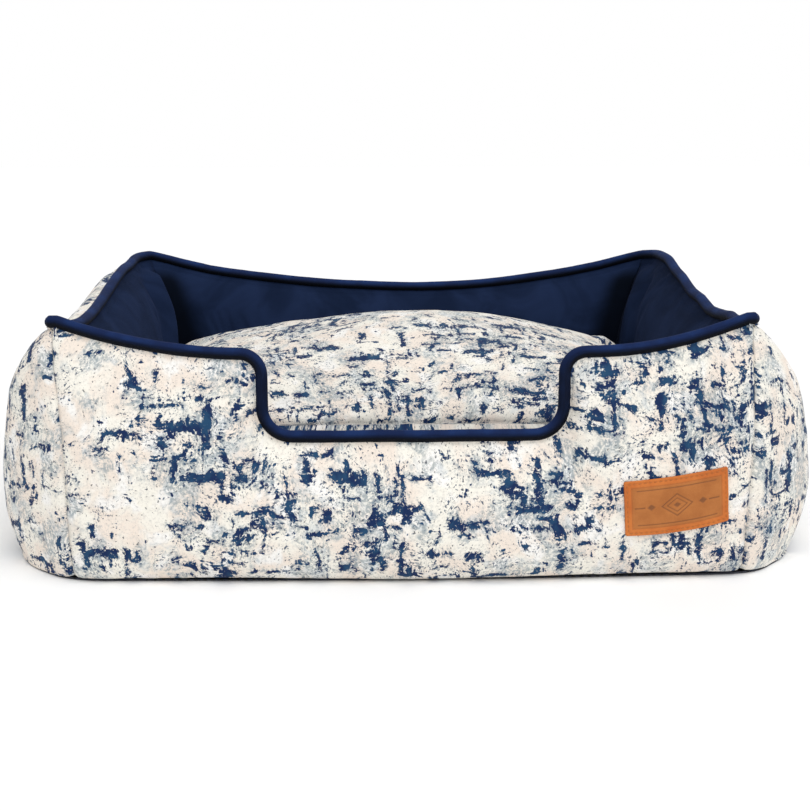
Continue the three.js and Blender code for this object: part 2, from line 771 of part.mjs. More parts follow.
function buildCushionZip(wasm, parent) {
  const at = LOWER_SECTION.getPoint(CUSHION_ZIP.place);
  const along = LOWER_SECTION.getTangent(CUSHION_ZIP.place);
  const zip = new THREE.Group();
  zip.position.set(0, CUSHION_HALF_Y - at.x, at.y);
  faceAlong(zip, -along.y, -along.x);
  parent.add(zip);
  buildZip(wasm, zip, "cushion_zip", CUSHION_ZIP);
  const { width, height, thickness } = CARE_LABEL;
  const from = CUSHION_ZIP.length / 2 + CARE_LABEL.fromZip;
  const blank = box(from, from + width, -height / 2, height / 2, GAP, GAP + thickness);
  add(zip, "care_label", blank, CARE);
}

// ---------------------------------------------------------------- the leather label

// The place on the front wall, in front of a point given across and up the label, lifted by a
// given height off the fabric.
function onFrontWall(across, up, lift) {
  const tilt = THREE.MathUtils.degToRad(LABEL.tilt);
  const x = LABEL.x + across * Math.cos(tilt) - up * Math.sin(tilt);
  const z = LABEL.z + across * Math.sin(tilt) + up * Math.cos(tilt);
  const far = 1000;
  const caster = new THREE.Raycaster(new THREE.Vector3(x, -far, z), new THREE.Vector3(0, 1, 0));
  const [hit] = caster.intersectObject(bed.getObjectByName("front_outer_panel"));
  return hit.point.addScaledVector(hit.face.normal, lift);
}

function buildLabel() {
  const { width, height, thickness, lift } = LABEL;
  const columns = [-0.5, -0.3, -0.1, 0.1, 0.3, 0.5];
  const rows = [-0.5, -0.25, 0, 0.25, 0.5];
  const face = (up) =>
    gridSurface(columns.map((x) => rows.map((z) => onFrontWall(x * width, z * height, up))));
  const label = solidBetween(face(lift + thickness), face(lift));
  add(bed, "leather_label", label, LEATHER);
  buildLabelStitching(lift + thickness);
}

// The thread runs round the label just inside its edge, and ends a stitch short of its start.
function buildLabelStitching(surface) {
  const { inset, thread, opening, steps } = STITCHING;
  const halfWidth = LABEL.width / 2 - inset;
  const halfHeight = LABEL.height / 2 - inset;
  const outline = new THREE.Path();
  outline.moveTo(-halfWidth + opening, halfHeight);
  outline.lineTo(halfWidth, halfHeight);
  outline.lineTo(halfWidth, -halfHeight);
  outline.lineTo(-halfWidth, -halfHeight);
  outline.lineTo(-halfWidth, halfHeight - opening);
  const lift = surface + thread + STITCHING.lift;
  const path = outline.getSpacedPoints(steps).map(({ x, y }) => onFrontWall(x, y, lift));
  const section = new THREE.Shape(circle(thread).filter((_, i) => i % 2 === 0));
  const sweep = { extrudePath: new SeamCurve(path), steps: path.length - 1, bevelEnabled: false };
  add(bed, "label_stitching", new THREE.ExtrudeGeometry(section, sweep), THREAD);
}

// ---------------------------------------------------------------- assembly

const wasm = await Module();
wasm.setup();

buildFlatPanel("base_panel", OUTER_RINGS[0], 0, BASE_CLOTH);
buildFlatPanel("inner_floor", INNER_RINGS[0], FABRIC + GAP, VELVET);
buildWalls();
buildPipings();
buildLabel();
buildBolsterZip(wasm);

const cushion = new THREE.Group();
bed.add(cushion);
buildCushion(cushion);
buildCushionZip(wasm, cushion);

// The origin is the middle of the footprint.
const extent = new THREE.Box3().setFromObject(bed, true);
bed.position.y = -(extent.min.y + extent.max.y) / 2;

export default bed;
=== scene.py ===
import math

import bmesh
import bpy
import numpy as np
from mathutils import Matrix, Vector
from mathutils.bvhtree import BVHTree


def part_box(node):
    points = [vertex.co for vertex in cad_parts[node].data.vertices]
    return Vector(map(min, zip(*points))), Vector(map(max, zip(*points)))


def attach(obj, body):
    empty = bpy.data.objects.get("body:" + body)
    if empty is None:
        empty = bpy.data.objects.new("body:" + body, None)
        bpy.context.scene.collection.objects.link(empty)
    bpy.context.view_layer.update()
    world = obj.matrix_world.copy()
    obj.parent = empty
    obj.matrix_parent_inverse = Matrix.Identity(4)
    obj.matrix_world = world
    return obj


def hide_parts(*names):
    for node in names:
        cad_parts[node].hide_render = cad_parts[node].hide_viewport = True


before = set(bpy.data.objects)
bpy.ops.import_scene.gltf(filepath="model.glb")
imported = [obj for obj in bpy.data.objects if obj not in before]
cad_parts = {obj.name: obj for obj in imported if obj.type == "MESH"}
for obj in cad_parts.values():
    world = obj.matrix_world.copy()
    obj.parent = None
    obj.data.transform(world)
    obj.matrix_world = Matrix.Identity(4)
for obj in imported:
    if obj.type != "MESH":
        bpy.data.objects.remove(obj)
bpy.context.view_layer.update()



def add_object(name, data):
    obj = bpy.data.objects.new(name, data)
    bpy.context.scene.collection.objects.link(obj)
    return obj


# ------------------------------------------------------------------ camera

camera = add_object("camera", bpy.data.cameras.new("camera"))
camera.location = (-0.0473, -1.5119, 0.4164)
camera.rotation_euler = (math.pi / 2 - 0.2114, 0, -0.032)
camera.data.sensor_fit = "HORIZONTAL"
camera.data.sensor_width = 36
camera.data.lens = 67.18
bpy.context.scene.camera = camera

# ------------------------------------------------------------------ dimensions, in millimetres

MM = 0.001
LOW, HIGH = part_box("cushion_top_cover")
ORIGIN = np.array([0, (LOW.y + HIGH.y) / 2 / MM, 0])  # the design's own is the cushion's middle
SEAM = {"x": 299, "y": 252, "front": 6, "back": 42, "side_bow": 0, "front_bow": 0}
SEAM_HEIGHT = 219
SIDE_SAG, SIDE_SAG_SHIFT, BACK_SAG = 12, 2.2, 38
FRONT_BOW, BACK_BOW = 17, 5
DOOR_HALF_WIDTH, DOOR_SILL = 128, 122
SHOULDER_DROP, SHOULDER_RADIUS, SILL_RADIUS = 26, 18, 25
FABRIC = 1.6
PIPING_RADIUS = 5.25
EDGE_CLEARANCE, EDGE_OFFSET = 5.6, 3.4
OUTER_RINGS = [
    {"x": 345, "y": 279, "front": 76, "back": 76, "side_bow": 17, "front_bow": 8, "z": 0.0015},
    {"x": 357, "y": 305, "front": 122, "back": 122, "side_bow": 34, "front_bow": 10, "z": 0.03},
    {"x": 365, "y": 300, "front": 115, "back": 115, "side_bow": 34, "front_bow": 8, "z": 0.67},
]
INNER_RINGS = [
    {"x": 247, "y": 203, "front": 32, "back": 32, "side_bow": 0, "front_bow": 0, "z": 0.0115},
    {"x": 248, "y": 204, "front": 32, "back": 32, "side_bow": 0, "front_bow": 0, "z": 0.36},
    {"x": 263, "y": 217, "front": 24, "back": 34, "side_bow": 0, "front_bow": 0, "z": 0.74},
]
SIDES = ["front", "right", "back", "left"]
ALONG = {"front": (1, 0), "right": (0, 1), "back": (-1, 0), "left": (0, -1)}
OUT = {"front": (0, -1), "right": (1, 0), "back": (0, 1), "left": (-1, 0)}
# The zips' lengths, and how far up the section of the cloth under them they lie.
BOLSTER_ZIP_LENGTH, BOLSTER_ZIP_AT = 420, 0.17
CUSHION_ZIP_LENGTH, CUSHION_ZIP_AT = 340, 0.62

# ------------------------------------------------------------------ noise


def lattice(i, j, k, seed):
    with np.errstate(over="ignore"):
        h = (
            i.astype(np.uint64) * np.uint64(73856093)
            ^ j.astype(np.uint64) * np.uint64(19349663)
            ^ k.astype(np.uint64) * np.uint64(83492791)
            ^ np.uint64(seed * 2654435761 % 4294967296)
        ) & np.uint64(0xFFFFFFFF)
        h = ((h ^ (h >> np.uint64(15))) * np.uint64(2246822519)) & np.uint64(0xFFFFFFFF)
        h = ((h ^ (h >> np.uint64(13))) * np.uint64(3266489917)) & np.uint64(0xFFFFFFFF)
        h = h ^ (h >> np.uint64(16))
    return (h & np.uint64(0xFFFF)).astype(float) / 32767.5 - 1


def noise(points, scale, seed=0):
    """Smooth noise from -1 to 1 at points, whose features are about scale across."""
    p = np.asarray(points, float) / scale + 1000.37
    cell = np.floor(p).astype(np.int64)
    f = p - cell
    f = f * f * f * (f * (f * 6 - 15) + 10)
    total = 0
    for dx in (0, 1):
        for dy in (0, 1):
            for dz in (0, 1):
                weight = (
                    (f[..., 0] if dx else 1 - f[..., 0])
                    * (f[..., 1] if dy else 1 - f[..., 1])
                    * (f[..., 2] if dz else 1 - f[..., 2])
                )
                total = total + weight * lattice(
                    cell[..., 0] + dx, cell[..., 1] + dy, cell[..., 2] + dz, seed
                )
    return total


def noise_along(values, scale, seed=0):
    values = np.asarray(values, float)
    zero = np.zeros_like(values)
    return noise(np.stack([values, zero, zero], -1), scale, seed)


# ------------------------------------------------------------------ curves and lengths


def ease(values, low, high):
    """0 below low, 1 above high, and smooth between them."""
    t = np.clip((values - low) / (high - low), 0, 1)
    return t * t * (3 - 2 * t)


def cubic(points, t):
    """Places on the cubic curve that four points control."""
    a, b, c, d = points
    return (1 - t) ** 3 * a + 3 * t * (1 - t) ** 2 * b + 3 * t * t * (1 - t) * c + t**3 * d


def lengths(grid, axis):
    """The way along one axis of a grid of points, or along a single line, to each of them."""
    steps = np.linalg.norm(np.diff(grid, axis=axis), axis=-1)
    total = np.cumsum(steps, axis=axis)
    zero = np.zeros_like(np.take(total, [0], axis=axis))
    return np.concatenate([zero, total], axis=axis)


def place_in(value, values):
    """The fractional place of a value in a rising list."""
    return np.interp(value, values, np.arange(len(values)))


# ------------------------------------------------------------------ plan outline of the walls


def radii(side, ring):
    ends = {"front": "ff", "right": "fb", "back": "bb", "left": "bf"}[side]
    return [ring["front"] if end == "f" else ring["back"] for end in ends]


def plan(side, ring, part, at):
    """Along, out and turn of points on a rounded rectangle: part -1 and 1 are the halves of the
    corners at a side's start and end, and part 0 is the straight stretch between them."""
    wide = side in ("front", "back")
    half, reach = (ring["x"], ring["y"]) if wide else (ring["y"], ring["x"])
    r0, r1 = radii(side, ring)
    start, end = half - r0 * (1 - math.sqrt(0.5)), half - r1 * (1 - math.sqrt(0.5))
    first, middle = part < 0, part == 0
    radius = np.where(first, r0, r1)
    turn = np.where(middle, 0, math.pi / 4 * np.where(first, at - 1, at))
    straight = (r0 - half) + (half - r1 - r0 + half) * (at + 1) / 2
    curved = np.where(first, radius - half, half - radius) + radius * np.sin(turn)
    along = np.where(middle, straight, curved)
    bow = {"front": ring["front_bow"], "right": ring["side_bow"], "back": 0, "left": ring["side_bow"]}
    share = -1 + 2 * (along + start) / (start + end)
    drop = np.where(middle, 0, radius * (1 - np.cos(turn)))
    return along, reach - drop + bow[side] * (1 - share**2), turn


def place(side, along, out, z):
    a, o = ALONG[side], OUT[side]
    return np.stack([a[0] * along + o[0] * out, a[1] * along + o[1] * out, z + 0 * along], -1)


def with_corners(middle, steps):
    """part and at for a side with steps round the corners at its ends and middle between them."""
    corner = np.linspace(0, 1, steps + 1)
    part = np.concatenate([corner[:-1] * 0 - 1, middle * 0, corner[1:] * 0 + 1])
    return part, np.concatenate([corner[:-1], middle, corner[1:]])


def ring_line(ring, sides):
    """A ring as one closed line, from each side's part and at."""
    line = []
    for side in SIDES:
        along, out, _ = plan(side, ring, *sides[side][:2])
        line.append(place(side, along, out, 0)[:-1])
    return np.concatenate(line)


# ------------------------------------------------------------------ stations round the walls

CORNER_STEPS, SILL_STEPS = 14, 75
SIDE_STEPS = {"right": 176, "back": 210, "left": 176}


def doorway():
    """The left half of the front seam: x, z and place along the lower rings."""
    slope_end, sill_start = 0.74, 0.46
    corner_x = SEAM["x"] - SEAM["front"]
    shoulder_x = DOOR_HALF_WIDTH + SHOULDER_RADIUS
    shoulder_z = SEAM_HEIGHT - SHOULDER_DROP
    xs, zs, at = [], [], []
    for t in np.linspace(0, 1, 45):
        xs.append(corner_x + (shoulder_x - corner_x) * t)
        zs.append(SEAM_HEIGHT - SHOULDER_DROP * (1 - (1 - t) ** 2))
        at.append(1 + (slope_end - 1) * t)
    slope = len(xs)
    for turn in np.linspace(0, math.pi / 2, 12)[1:]:
        xs.append(shoulder_x - SHOULDER_RADIUS * math.sin(turn))
        zs.append(shoulder_z - SHOULDER_RADIUS * (1 - math.cos(turn)))
    jamb_top, jamb_foot = zs[-1], DOOR_SILL + SILL_RADIUS
    for t in np.linspace(0, 1, 9)[1:-1]:
        xs.append(DOOR_HALF_WIDTH)
        zs.append(jamb_top + (jamb_foot - jamb_top) * t)
    for turn in np.linspace(0, math.pi / 2, 14):
        xs.append(DOOR_HALF_WIDTH - SILL_RADIUS * (1 - math.cos(turn)))
        zs.append(DOOR_SILL + SILL_RADIUS * (1 - math.sin(turn)))
    length = lengths(np.stack([xs, zs], -1)[slope - 1 :], 0)
    at += list(slope_end + (sill_start - slope_end) * length[1:] / length[-1])
    return np.array(xs), np.array(zs), np.array(at)


def stations(side):
    """part, at, and the seam's own x and z where the side is the front."""
    if side == "front":
        x, z, at = doorway()
        t = np.linspace(0, 1, SILL_STEPS + 1)[1:-1]
        middle = np.concatenate([-at, -at[-1] + 2 * at[-1] * t, at[::-1]])
        seam_x = np.concatenate([-x, -x[-1] + 2 * x[-1] * t, x[::-1]])
        seam_z = np.concatenate([z, DOOR_SILL + 0 * t, z[::-1]])
    else:
        middle = np.linspace(-1, 1, SIDE_STEPS[side] + 1)
        seam_x, seam_z = middle * np.nan, middle * np.nan
    part, at = with_corners(middle, CORNER_STEPS)
    blank = np.full(CORNER_STEPS, np.nan)
    seam_x, seam_z = [np.concatenate([blank, values, blank]) for values in (seam_x, seam_z)]
    return part, at, seam_x, seam_z


STATIONS = {side: stations(side) for side in SIDES}


def seam_points(side):
    part, at, seam_x, seam_z = STATIONS[side]
    along, out, turn = plan(side, SEAM, part, at)
    along = np.where(np.isnan(seam_x), along, seam_x)
    ends, _, _ = plan(side, SEAM, np.array([-1, 1]), np.array([0.0, 1.0]))
    share = -1 + 2 * (along - ends[0]) / (ends[1] - ends[0])
    arch = 1 - share**2
    if side == "front":
        z = np.where(np.isnan(seam_z), SEAM_HEIGHT, seam_z)
        return place(side, along, out + FRONT_BOW * arch, z), turn
    if side == "back":
        return place(side, along, out + BACK_BOW * arch, SEAM_HEIGHT - BACK_SAG * arch), turn
    towards_back = share if side == "right" else -share
    z = SEAM_HEIGHT - SIDE_SAG * arch * (1 - SIDE_SAG_SHIFT * towards_back)
    return place(side, along, out, z), turn


def seam_loop():
    """The seam as one closed loop of points, each wall's outward direction there, and the
    direction from the seam into the wall."""
    points, outward = [], []
    for side in SIDES:
        p, turn = seam_points(side)
        a, o = np.array(ALONG[side] + (0,)), np.array(OUT[side] + (0,))
        points.append(p[:-1])
        outward.append((np.cos(turn)[:, None] * o + np.sin(turn)[:, None] * a)[:-1])
    points, outward = np.concatenate(points), np.concatenate(outward)
    into = np.cross(np.roll(points, -1, 0) - np.roll(points, 1, 0), outward)
    return points, outward, into / np.linalg.norm(into, axis=1)[:, None]


SEAM_POINTS, SEAM_OUT, SEAM_INTO = seam_loop()
STARTS = np.cumsum([0] + [len(STATIONS[side][0]) - 1 for side in SIDES])  # column of each corner
COLUMNS = STARTS[-1]
START = dict(zip(SIDES, STARTS))

# ------------------------------------------------------------------ the faces of the walls


def rows_of(count):
    """Shares up a wall's section, closer together at both ends."""
    t = np.linspace(0, 1, count)
    return t - 0.6 * np.sin(2 * math.pi * t) / (2 * math.pi)


def wall_face(rings, sign, rows):
    """A wall face as an array of rows, from the floor up, and of columns round the bed."""
    edge = SEAM_POINTS + SEAM_INTO * EDGE_CLEARANCE + SEAM_OUT * EDGE_OFFSET * sign
    controls = []
    for i, ring in enumerate(rings):
        level = ring_line(ring, STATIONS)
        level[:, 2] = ring["z"] * (SEAM_HEIGHT if i == 0 else SEAM_POINTS[:, 2])
        controls.append(level[None])
    return cubic(controls + [edge[None]], rows_of(rows)[:, None, None])


def grid_normals(grid, closed):
    """Unit normals of a grid of rows and columns, which face out where the columns run
    anticlockwise seen from above."""
    if closed:
        across = np.roll(grid, -1, 1) - np.roll(grid, 1, 1)
    else:
        across = np.gradient(grid, axis=1)
    up = np.gradient(grid, axis=0)
    n = np.cross(across, up)
    return n / np.maximum(np.linalg.norm(n, axis=-1, keepdims=True), 1e-9)


def at_columns(grid, where):
    """Values of a closed grid at fractional columns: where has one list of columns for each row."""
    low = np.floor(where).astype(int)
    f = (where - low)[..., None]
    rows = np.arange(grid.shape[0])[:, None]
    return grid[rows, low % COLUMNS] * (1 - f) + grid[rows, (low + 1) % COLUMNS] * f


# ------------------------------------------------------------------ meshes


# How far the sewn bed strays from its pattern, as (places, distances) in millimetres. Where
# there are two, -1 stands for the left of the bed and 1 for its right.
WALL_STRAY = {
    -1: (
        [0, 6, 17, 31, 42, 70, 92, 120, 154, 167, 200, 219],
        [-4, -8, -8, -6, -4, -3, -1.5, 1.5, 5.5, 5, 2, 0],
    ),
    1: (
        [0, 2, 12, 25, 38, 65, 92, 120, 146, 163, 200, 219],
        [-8, -12, -11, -9, -7, -4, -5, -4, -2, 1, 0, 0],
    ),
}
RIM_STRAY = {
    -1: ([60, 110, 148, 184, 194, 215, 240], [0, -2, -5, -5, -4, -3, 0]),
    1: ([-205, -142, -101, -59, -18, 23, 65, 106, 148], [0, 3, -1, -5, -3.5, -7, -5, -4, 0]),
}
BACK_STRAY = (
    [-290, -219, -184, -113, -43, 27, 97, 167, 237, 290],
    [0, -3, -1.2, -0.3, -0.3, -2.3, -3, -2.6, -3.3, -1],
)
FOOT_STRAY = ([-340, -250, -140, 0, 80, 165, 250, 340], [1.0, 2.4, 3.2, 0.8, 2, 3, 3.4, 1.2])
CUSHION_STRAY = (
    [-230, -210, -179, -147, -85, -23, 39, 102, 164, 195, 211, 226],
    [-4, -7.2, -10.2, -11.4, -10, -3.8, -1.9, -4.8, -8.6, -8.4, -7.8, -2],
)


def settle(points, lifted=True):
    """Points of the pattern, where the sewn and stuffed bed has them."""
    p = np.asarray(points, float)
    x, y, z = p[..., 0], p[..., 1], p[..., 2]
    moved = p.copy()
    # The front corners of the rim sit a little to one side.
    pull = np.where(x > 0, -7.0, -6.5) * ease(np.abs(x), 190, 290)
    moved[..., 0] += pull * ease(z, 120, 210) * ease(-y, 120, 240)
    for sign in (-1, 1):
        beyond = ease(x * sign, 285, 335)
        beyond = beyond * (0.4 + 0.6 * ease(-y, -150, 100))
        moved[..., 0] += sign * beyond * np.interp(z, *WALL_STRAY[sign])
        moved[..., 2] += ease(x * sign, 245, 297) * ease(z, 120, 195) * np.interp(y, *RIM_STRAY[sign])
    moved[..., 2] += ease(y, 190, 245) * ease(z, 120, 195) * np.interp(x, *BACK_STRAY)
    # The left wall is stuffed fuller than the others along its top.
    shoulder = ease(-x, 302, 322) * (1 - ease(-x, 352, 378)) * ease(z, 130, 185)
    moved[..., 2] += 10 * shoulder * ease(y, -225, -110) * (1 - ease(y, 190, 260))
    if lifted:
        moved[..., 2] += np.interp(x, *FOOT_STRAY) * ease(-y, 200, 260) * (1 - ease(z, 0, 42))
    return moved


def to_frame(points):
    return (np.asarray(points, float) + ORIGIN) * MM


def give_map(mesh, uv):
    """A UV map with one place for each point."""
    corner = np.zeros(len(mesh.loops), np.int32)
    mesh.loops.foreach_get("vertex_index", corner)
    layer = mesh.uv_layers.new(name="cloth")
    layer.data.foreach_set("uv", np.asarray(uv, np.float32).reshape(-1, 2)[corner].ravel())


def shade_smooth(mesh):
    mesh.polygons.foreach_set("use_smooth", [True] * len(mesh.polygons))


def new_object(name, points, faces, uv=None):
    mesh = bpy.data.meshes.new(name)
    points = to_frame(np.reshape(points, (-1, 3)))
    mesh.from_pydata(points.tolist(), [], [list(map(int, f)) for f in faces])
    if uv is not None:
        give_map(mesh, uv)
    shade_smooth(mesh)
    mesh.update()
    return add_object(name, mesh)


def grid_faces(rows, columns, closed=False, flip=False, offset=0):
    r = np.arange(rows - 1)[:, None]
    c = np.arange(columns if closed else columns - 1)[None]
    d = (c + 1) % columns
    quads = np.stack(
        [r * columns + c, r * columns + d, (r + 1) * columns + d, (r + 1) * columns + c], -1
    ).reshape(-1, 4)
    return (quads[:, ::-1] if flip else quads) + offset


def fan(start, count, tip, flip=False):
    """Triangles from a ring of count points, from start on, to one point."""
    pairs = [(start + i, start + (i + 1) % count) for i in range(count)]
    return [[b, a, tip] if flip else [a, b, tip] for a, b in pairs]


def shell(name, front, normals, thickness, uv):
    """A closed sheet: front is its outer face and the rear face lies thickness behind it."""
    rows, columns = front.shape[:2]
    rear = front - normals * thickness
    n = rows * columns
    faces = [grid_faces(rows, columns), grid_faces(rows, columns, flip=True, offset=n)]
    border = [(0, c) for c in range(columns)] + [(r, columns - 1) for r in range(1, rows)]
    border += [(rows - 1, c) for c in range(columns - 2, -1, -1)]
    border += [(r, 0) for r in range(rows - 2, 0, -1)]
    ring = np.array([r * columns + c for r, c in border])
    after = np.roll(ring, -1)
    faces.append(np.stack([after, ring, ring + n, after + n], -1))
    points = np.concatenate([front.reshape(-1, 3), rear.reshape(-1, 3)])
    uv = np.concatenate([uv.reshape(-1, 2)] * 2)
    return new_object(name, points, np.concatenate(faces), uv)


def give_values(obj, name, values):
    """One value for each point. The values of a shell's front serve its rear as well."""
    values = np.tile(np.ravel(values), len(obj.data.vertices) // np.size(values))
    attribute = obj.data.attributes.new(name, "FLOAT", "POINT")
    attribute.data.foreach_set("value", values.astype(np.float32))


def tube(name, path, radius, sides=20):
    """A round, closed tube along a path, with a radius for each point, and its UV map in metres."""
    tangent = np.gradient(path, axis=0)
    tangent /= np.linalg.norm(tangent, axis=1)[:, None]
    normal = np.cross(tangent[0], (0, 0, 1))
    turn = np.linspace(0, 2 * math.pi, sides + 1)[:-1]
    rings = []
    for point, r, t in zip(path, radius, tangent):
        normal = normal - t * normal.dot(t)
        normal = normal / np.linalg.norm(normal)
        circle = np.cos(turn)[:, None] * normal + np.sin(turn)[:, None] * np.cross(t, normal)
        rings.append(point + r * circle)
    length = lengths(path, 0)
    uv = np.stack(np.broadcast_arrays(length[:, None], turn * PIPING_RADIUS), -1) * MM
    faces = [list(f) for f in grid_faces(len(path), sides, closed=True)]
    points = np.concatenate([*rings, path[:1], path[-1:]])
    coords = np.concatenate([uv.reshape(-1, 2), [[0, 0]], [[length[-1] * MM, 0]]])
    tip = len(path) * sides
    faces += fan(0, sides, tip, flip=True) + fan(tip - sides, sides, tip + 1)
    return new_object(name, points, faces, coords)


# ------------------------------------------------------------------ materials


class Value:
    """What a node puts out, on which sums are written as usual."""

    def __init__(self, nodes, socket):
        self.nodes, self.socket = nodes, socket

    def __add__(self, other):
        return self.nodes.math("ADD", self, other)

    def __sub__(self, other):
        return self.nodes.math("SUBTRACT", self, other)

    def __rsub__(self, other):
        return self.nodes.math("SUBTRACT", other, self)

    def __mul__(self, other):
        return self.nodes.math("MULTIPLY", self, other)

    def __truediv__(self, other):
        return self.nodes.math("DIVIDE", self, other)

    __radd__, __rmul__ = __add__, __mul__


class Nodes:
    """A material's node tree, with short calls for the nodes used below."""

    def __init__(self, name):
        self.material = bpy.data.materials.new(name)
        self.material.use_nodes = True
        self.tree = self.material.node_tree
        self.tree.nodes.clear()
        self.shader = self.node("BsdfPrincipled")
        self.node("OutputMaterial", self.out(self.shader))

    def node(self, kind, *values, **settings):
        """A node of a kind, with values for its first inputs."""
        node = self.tree.nodes.new("ShaderNode" + kind)
        for name, setting in settings.items():
            setattr(node, name, setting)
        for value, socket in zip(values, node.inputs):
            self.put(value, socket)
        return node

    def put(self, value, socket):
        if isinstance(value, Value):
            self.tree.links.new(value.socket, socket)
        else:
            socket.default_value = value

    def fill(self, node, **values):
        """Gives a node's inputs their values by name."""
        for name, value in values.items():
            self.put(value, node.inputs[name.replace("_", " ")])
        return node

    def out(self, node, output=0):
        return Value(self, node.outputs[output])

    def set(self, **values):
        self.fill(self.shader, **values)

    def math(self, operation, a, b=0.0):
        return self.out(self.node("Math", a, b, operation=operation))

    def step(self, value, low, high, out_low=0.0, out_high=1.0):
        """Smoothly from out_low, where the value is low, to out_high, where it is high."""
        values = (value, low, high, out_low, out_high)
        return self.out(self.node("MapRange", *values, interpolation_type="SMOOTHSTEP"))

    def mix(self, share, a, b):
        node = self.node("Mix", share, data_type="RGBA")
        self.put(a, node.inputs[6])
        self.put(b, node.inputs[7])
        return self.out(node, 2)

    def parts(self, vector):
        node = self.node("SeparateXYZ", vector)
        return [self.out(node, k) for k in range(3)]

    def cloth(self):
        """The UV map made in metres, as separate values in millimetres."""
        u, v, _ = self.parts(self.out(self.node("UVMap", uv_map="cloth")))
        return u * 1000.0, v * 1000.0

    def position(self):
        """Places on the object in metres, as it was made."""
        return self.out(self.node("TexCoord"), "Object")

    def facing_up(self):
        return self.parts(self.out(self.node("NewGeometry"), "Normal"))[2]

    def attribute(self, name):
        return self.out(self.node("Attribute", attribute_name=name), "Fac")

    def vector(self, x, y, z=0.0):
        return self.out(self.node("CombineXYZ", x, y, z))

    def shifted(self, vector, seed):
        return self.out(self.node("VectorMath", vector, (seed * 3.17, seed * 1.93, 0), operation="ADD"))

    def noise(self, vector, scale, detail=2.0, rough=0.5, flat=True, distortion=0.0):
        node = self.node("TexNoise", vector, noise_dimensions="2D" if flat else "3D")
        return self.out(self.fill(node, Scale=scale, Detail=detail, Roughness=rough, Distortion=distortion))

    def white(self, value):
        node = self.node("TexWhiteNoise", noise_dimensions="1D")
        return self.out(self.fill(node, W=value), "Value")

    def cells(self, vector):
        """Four random values for each whole-number place."""
        node = self.node("TexWhiteNoise", vector, noise_dimensions="3D")
        parts = self.node("SeparateColor", self.out(node, "Color"))
        return [self.out(parts, k) for k in range(3)] + [self.out(node, "Value")]

    def pores(self, vector, scale):
        return self.out(self.fill(self.node("TexVoronoi", vector), Scale=scale), "Distance")

    def bump(self, height, distance, strength):
        node = self.fill(self.node("Bump"), Strength=strength, Distance=distance, Height=height)
        self.set(Normal=self.out(node))


def colour(r, g, b):
    """Linear colour of an sRGB colour given from 0 to 255."""
    parts = [v / 255 for v in (r, g, b)]
    return tuple((v / 12.92 if v <= 0.04045 else ((v + 0.055) / 1.055) ** 2.4 for v in parts)) + (1,)


def brush(n, u, v, seed, row, reach, blob, cover, soft, grain):
    """Where a dry brush drawn along u has left paint: bars one row high with ragged ends."""
    here = n.vector(u + seed * 37.0, v + seed * 53.0)
    wobble = (n.noise(here, 0.09, 2.0) - 0.5) * (row * 1.6)
    bar = n.math("FLOOR", (v + wobble) / row)
    shift = (n.white(bar + seed * 7.31) - 0.5) * reach
    at = n.vector((u + shift) * (1.0 / blob), bar * (row / blob), 0.0)
    paint = n.noise(n.shifted(at, seed), 1.0, 3.0, 0.6)
    fine = n.noise(here, 0.55, 2.0, 0.7)
    value = paint + (fine - 0.5) * grain
    return n.step(value, cover - soft, cover + soft)


def weave_height(n, u, v, pitch):
    """Woven threads with uneven thickness."""
    along = n.noise(n.vector(u * (0.12 / pitch), v * (1.0 / pitch)), 1.0, 2.0)
    across = n.noise(n.vector(u * (1.0 / pitch), v * (0.12 / pitch)), 1.0, 2.0)
    return along + across


def strokes(n, u, v, seed, length, pitch, thin, thick, density, edge):
    """Single dry brush strokes along u, one to a cell of length by pitch, with ragged edges."""
    row = n.math("FLOOR", v * (1.0 / pitch))
    across = u * (1.0 / length) + n.white(row + seed * 11.7) * 3.0
    column = n.math("FLOOR", across)
    chance, middle, width, reach = n.cells(n.vector(column, row, seed * 1.37))
    fu = n.math("ABSOLUTE", across - column - 0.5)
    fv = v * (1.0 / pitch) - row
    off = n.math("ABSOLUTE", fv - (0.25 + middle * 0.5))
    beside = off * pitch - (thin + width * width * thick)
    past = (fu - (0.2 + reach * 0.27)) * length
    d = n.math("MAXIMUM", beside, past) + edge
    return d + n.math("GREATER_THAN", chance, density) * 60.0


